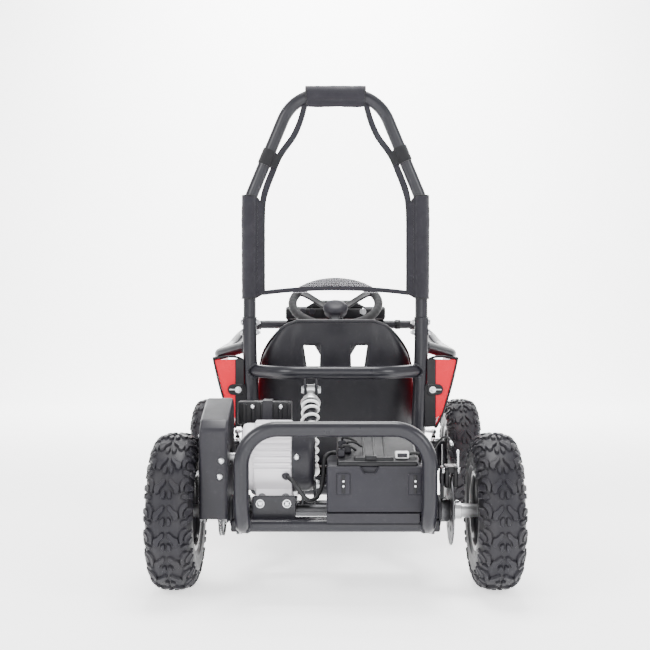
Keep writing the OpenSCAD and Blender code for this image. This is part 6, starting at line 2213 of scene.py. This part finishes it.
@dataclass
class Brake:
    """Disc, caliper, its lever, both cables and the two pedals."""

    axle: tuple[float, float] = (-520.0, 165.0)
    disc_r: float = 72.5
    pedal: tuple[float, float] = (575.0, 182.0)

    def disc(self) -> None:
        """The disc: drilled, with six lightening holes, on a hub with three screws."""
        y, z = self.axle
        holes = [circle(12.6, steps=32)]
        for k in range(6):
            a = k * math.pi / 3
            holes.append(circle(7, 40 * math.cos(a), 40 * math.sin(a), 22))
            for j in range(3):
                b = a + 0.2 + 0.33 * j
                r = 56 + 6 * j - 1
                holes.append(circle(2.6, r * math.cos(b), r * math.sin(b), 12))
        p = Part().plate(circle(self.disc_r, steps=96), 242.4, 245.8, side_view_at(y, z), holes, 0.5)
        hub = [(12.6, 224), (24, 224), (24, 238), (22, 241), (24, 242), (24, 250), (23, 251),
               (12.6, 251)]
        p.turn(hub, vec(0, y, z), RIGHT, 40, 0, True)
        for k in range(3):
            b = 2 * math.pi * k / 3
            hex_head(p, vec(251, y + 18 * math.cos(b), z + 18 * math.sin(b)), RIGHT, 7, 3, 0, 1)
        p.make("brake_rotor", Body.AXLE, "steel", dressed(DARK_STEEL, ZINC), ("brake_disc",))

    def caliper(self) -> None:
        """The caliper: two halves, pads each side of the disc, bolts and the bracket."""
        p, (y, _) = Part(), self.axle
        shape = rounded([(y - 25, 216), (y + 25, 216), (y + 25, 262), (y - 25, 262)], [6, 6, 11, 11])
        p.plate(shape, 230, 239.5, SIDE_VIEW, edge=2)
        p.plate(shape, 248.5, 258, SIDE_VIEW, edge=2)
        p.box(vec(236, y - 24, 246), vec(252, y + 24, 261), 3)
        p.turn([(0, 0), (14, 0), (15, 1), (15, 7), (13, 9), (0, 9)], vec(221.5, y, 236), RIGHT, 32)
        for x0, x1 in ((238.8, 241.6), (246.6, 249.4)):
            p.box(vec(x0, y - 18, 214), vec(x1, y + 18, 240), 0.8, 2)
        p.plate(rounded([(y - 15, 190), (y + 15, 190), (y + 15, 258), (y - 15, 258)], 4), 223, 229,
                SIDE_VIEW, finish=3)
        for dy in (-18, 18):
            through_bolt(p, vec(259, y + dy, 252), vec(229.5, y + dy, 252), 6, 1)
        p.make("brake_caliper_unit", Body.CRADLE, "cast_aluminium",
               dressed(BLACK_TRIM, ZINC, DARK_STEEL, SHEET_PAINT), ("brake_caliper",))
        q = Part()
        arm = rounded([(y - 6, 246), (y + 6, 246), (y + 5, 294), (y - 5, 294)], [5.5, 5.5, 4.5, 4.5])
        q.plate(arm, 258.6, 262.6, SIDE_VIEW, [circle(2.2, y, 288, 12)], 0.5)
        rod(q, (258.3, y, 252), (263.5, y, 252), 14, 24)
        hex_head(q, vec(262.6, y, 252), RIGHT, 8, 3, 0)
        rod(q, (257, y, 288), (263.6, y, 288), 7, 16)
        q.make("brake_actuator", Body.LEVER, "zinc", dressed(ZINC), ("caliper_arm",))

    def cables(self) -> None:
        """The brake cable in two runs, each with its ferrules and ties."""
        y = self.axle[0]
        rear = [(250, y + 12, 300), (246, y + 26, 312), (240, y + 44, 316), (232, y + 64, 310),
                (224, y + 84, 296),
                (216, y + 102, 276), (206, y + 122, 250), (194, y + 142, 222), (182, y + 164, 198),
                (168, y + 190, 180), (154, y + 218, 172), (144, y + 248, 170), (140, y + 278, 170),
                (140, y + 300, 170)]
        front = [(140, -155, 172), (150, -110, 172), (160, -60, 172), (166, -10, 172), (168, 60, 172),
                 (166, 120, 172),
                 (156, 180, 172), (136, 240, 172), (112, 300, 172), (100, 340, 186), (96, 380, 190),
                 (90, 420, 186),
                 (60, 450, 172), (10, 470, 172), (-50, 490, 176), (-66, 520, 190), (-68, 545, 206)]
        for name, body, route in (("rear", Body.CRADLE, rear), ("front", Body.CHASSIS, front)):
            line = spline(route, 160)
            p = Part().sweep(line, 2.5, 12)
            for i, way in ((0, 1), (-1, -1)):
                t = unit(line[i + way] - line[i]) * way
                at = line[i]
                p.turn([(0, 0), (3.4, 0), (3.8, 0.8), (3.8, 12), (3, 14), (0, 14)], at, t * way, 16, 1)
            for share in (0.25, 0.5, 0.75):
                i = int(share * 159)
                p.turn([(2.4, -2), (3.3, -1.6), (3.3, 1.6), (2.4, 2)], line[i],
                       line[i + 1] - line[i], 12, 0)
            p.make(f"brake_hose_{name}", body, "black_plastic", dressed(CABLE_SKIN, ZINC),
                   (f"brake_cable_{name}",))

    def pedals(self) -> None:
        """The pedals: a bent arm on a sleeve, and a ribbed foot plate."""
        y, z = self.pedal
        for side, name, body in ((1, "throttle", Body.THROTTLE), (-1, "brake", Body.BRAKE)):
            p, x = Part(), 80 * side
            p.turn([(5.2, -18), (10, -18), (11, -17), (11, 17), (10, 18), (5.2, 18)], vec(x, y, z),
                   RIGHT, 32, 0, True)
            line = spline([(x, y, z + 6), (x, y - 3, z + 40), (x, y - 14, z + 80),
                           (x, y - 20, z + 112)], 24)
            p.sweep(line, 6, 18)
            lean = math.radians(10)
            b = (0, -math.sin(lean), math.cos(lean))
            place = Place((x, y - 22, 296), (-1, 0, 0), b)
            p.plate(rounded(slab(-32, 32, -30, 34), 8), -4, 5, place, edge=1.2)
            for k in range(6):
                h = -22 + 10 * k
                c = place.at(vec(-25, 25), vec(h, h), -5.0 + 0.2)
                p.sweep(c, 2.0, 10, finish=1)
            p.make(f"{name}_pedal_arm", body, "dark_sheet", dressed(SHEET_PAINT, GRIP_FOAM),
                   (f"{name}_pedal",))

    def build(self) -> None:
        """Builds the brake and the pedals."""
        for step in (self.disc, self.caliper, self.cables, self.pedals):
            step()


def side_view_at(y: float, z: float) -> Place:
    """A (y, z) outline's axes with their origin at y, z."""
    return Place((0, y, z), (0, 1, 0), (0, 0, 1))


@dataclass
class Shock:
    """The coil-over shock between the frame's cross tube and the cradle."""

    top: tuple[float, float, float] = (-60.0, -190.0, 398.0)
    foot: tuple[float, float, float] = (-60.0, -390.0, 200.0)
    coil_d: float = 45.0
    wire_d: float = 7.5
    turns: float = 9.0
    seat_top: float = 44.0
    seat_low: float = 40.0

    @property
    def line(self) -> Array:
        """Direction from the upper eye to the lower."""
        return unit(np.array(self.foot) - np.array(self.top))

    def length(self) -> float:
        """Distance between the eyes."""
        return float(np.linalg.norm(np.array(self.foot) - np.array(self.top)))

    def eye(self, p: Part, at: Array, way: Array) -> None:
        """An eye with its rubber bush, and the neck that runs along way."""
        p.turn([(5.1, -10.5), (12, -10.5), (13, -9.5), (13, 9.5), (12, 10.5), (5.1, 10.5)], at, RIGHT,
               36, 0, True)
        p.turn([(7, -10.8), (10.5, -10.8), (10.5, -10.2), (7, -10.2)], at, RIGHT, 32, 2, True)
        p.turn([(7, 10.2), (10.5, 10.2), (10.5, 10.8), (7, 10.8)], at, RIGHT, 32, 2, True)
        p.turn([(0, 9), (10.4, 11), (10.4, 30), (0, 30)], at, way, 32, 0)
        through_bolt(p, at - vec(17, 0, 0), at + vec(17, 0, 0), 10, 1)

    def upper(self) -> None:
        """Upper eye, adjuster rings, spring seat and the damper's body."""
        p, at, w = Part(), np.array(self.top), self.line
        self.eye(p, at, w)
        s = self.seat_top
        p.turn([(0, 28), (15, 28), (17, 30), (17, 34), (22, 36), (24, s - 5), (24, s), (10, s)], at,
               w, 44, 0)
        for k in range(3):
            p.turn([(16.5, 29 + 3 * k), (19, 29.6 + 3 * k), (19, 31 + 3 * k), (16.5, 31.6 + 3 * k)], at,
                   w, 40, 0)
        p.turn([(13.5, s), (14, s + 1), (14, 146), (13, 150), (6.3, 150), (6.3, s)], at, w, 40, 3, True)
        p.make("shock_upper_half", Body.SHOCK_UP, "cast_aluminium",
               dressed(ALUMINIUM, ZINC, GRIP_FOAM, SHEET_PAINT), ("shock_body",))

    def lower(self) -> None:
        """Lower eye, spring seat, bump rubber and the bright rod."""
        p, at, w = Part(), np.array(self.foot), -self.line
        self.eye(p, at, w)
        s = self.seat_low
        p.turn([(0, 28), (14, 28), (21, 32), (24, s - 5), (24, s), (8, s)], at, w, 44, 0)
        p.turn([(6, s), (11, s + 1), (9, s + 5), (11, s + 9), (9, s + 13), (10, s + 17), (6, s + 18)],
               at, w, 32, 2)
        rod(p, at + w * s, at + w * (self.length() - self.seat_top - 42), 11.8, 28, 3)
        p.make("shock_lower_half", Body.SHOCK_LOW, "steel", dressed(ALUMINIUM, ZINC, GRIP_FOAM, STEEL),
               ("shock_rod",))

    def spring(self) -> None:
        """The coil: a helix with closed, flattened end turns.

        At share s of its length the angle is 2 pi turns s, and the height eases so
        that the first and last turns lie flat against their seats.
        """
        at, w = np.array(self.top), self.line
        start = self.seat_top + 0.4 + self.wire_d / 2
        end = self.length() - self.seat_low - 0.4 - self.wire_d / 2
        u, v, _ = frame_of(w)
        s = np.linspace(0, 1, int(self.turns * 34))
        edge = 0.9 / self.turns
        rise = np.interp(s, [0, edge, 1 - edge, 1], [0, 0.030, 0.970, 1])
        a = 2 * np.pi * self.turns * s
        r = (self.coil_d - self.wire_d) / 2
        path = at + (start + (end - start) * rise)[:, None] * w + r * (u * np.cos(a)[:, None]
                                                                       + v * np.sin(a)[:, None])
        spring = Part().sweep(path, self.wire_d / 2, 14).make(
            "coil_spring", Body.SHOCK_UP, "spring_white", dressed(SPRING_WHITE), ("shock_spring",),
            crease=70)
        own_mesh(spring)

    def build(self) -> None:
        """Builds the shock."""
        for step in (self.upper, self.lower, self.spring):
            step()


# ------------------------------------------------------------------ studio

@dataclass(frozen=True)
class Studio:
    """Pale sweep, soft lights and the camera straight behind the kart."""

    eye: tuple[float, float, float] = (0.0, -2.790, 0.585)
    lens: float = 59.05
    shift: tuple[float, float] = (-10.5 / 650, -12.0 / 650)

    def backdrop(self) -> None:
        """Floor and back wall as one sweep, joined by a quarter circle of radius 1.2 m."""
        a = np.linspace(0, np.pi / 2, 24)
        y = np.concatenate([[-9, 0, 4.0], 4.0 + 1.2 * np.sin(a), [5.2]])
        z = np.concatenate([[0, 0, 0], 1.2 * (1 - np.cos(a)), [7.0]])
        x = np.linspace(-9, 9, 9)
        grid = np.stack(np.broadcast_arrays(x[:, None], y[None], z[None]), -1)
        faces = Part().grid(grid).faces[0][0]
        mesh = bpy.data.meshes.new("studio_sweep")
        mesh.from_pydata(grid.reshape(-1, 3).tolist(), [], faces.tolist())
        mesh.polygons.foreach_set("use_smooth", np.ones(len(mesh.polygons), dtype=bool))
        mesh.materials.append(FLOOR_PAPER.material())
        sweep = bpy.data.objects.new("studio_sweep", mesh)
        bpy.context.scene.collection.objects.link(sweep)

    def light(self, name: str, place: Array, aim: Array, size: float, watts: float) -> None:
        """One square soft box at place, turned to aim."""
        data = bpy.data.lights.new(name, "AREA")
        data.shape, data.size, data.energy = "SQUARE", size, watts
        lamp = bpy.data.objects.new(name, data)
        lamp.location = place
        lamp.rotation_euler = Vector(aim - place).to_track_quat("-Z", "Y").to_euler()
        lamp.visible_camera = False
        bpy.context.scene.collection.objects.link(lamp)

    def build(self) -> None:
        """Sets up sweep, lights, world and camera."""
        self.backdrop()
        middle = vec(0, 0, 0.5)
        self.light("key_left", vec(-2.6, -2.9, 2.4), middle, 1.6, 120)
        self.light("key_right", vec(2.8, -2.5, 2.0), middle, 1.6, 95)
        self.light("overhead", vec(0, 0.2, 3.2), middle, 1.4, 130)
        self.light("behind", vec(0, 3.4, 3.0), vec(0, 6.0, 0.6), 3.2, 420)
        self.light("low_front", vec(0, -3.6, 0.9), middle, 2.0, 45)
        world = bpy.data.worlds.new("studio_air")
        world.use_nodes = True
        world.node_tree.nodes["Background"].inputs["Color"].default_value = (1, 1, 1, 1)
        world.node_tree.nodes["Background"].inputs["Strength"].default_value = 1.15
        bpy.context.scene.world = world
        data = bpy.data.cameras.new("rear_camera")
        data.lens, data.sensor_width = self.lens, 36.0
        data.shift_x, data.shift_y = self.shift
        camera = bpy.data.objects.new("rear_camera", data)
        camera.location = self.eye
        camera.rotation_euler = (math.pi / 2, 0, 0)
        bpy.context.scene.collection.objects.link(camera)
        bpy.context.scene.camera = camera


def main() -> None:
    """Builds the studio and every sub-assembly in order."""
    logging.basicConfig(level=logging.INFO, format="%(name)s: %(message)s")
    Studio().build()
    wheels = [Wheel(side, x, y, body, front)
              for front, x, y, bodies in ((True, 370.0, 380.0, (Body.WHEEL_FL, Body.WHEEL_FR)),
                                          (False, 337.0, -520.0, (Body.AXLE, Body.AXLE)))
              for side, body in zip((-1, 1), bodies)]
    for assembly in (MainFrame(), Steering(), *wheels, Panels(), Seat(), HoopCloth(), Cradle(), Drive(),
                     Battery(),
                     Brake(), Shock()):
        LOG.info("building %s", type(assembly).__name__)
        assembly.build()


if __name__ == "__main__":
    main()
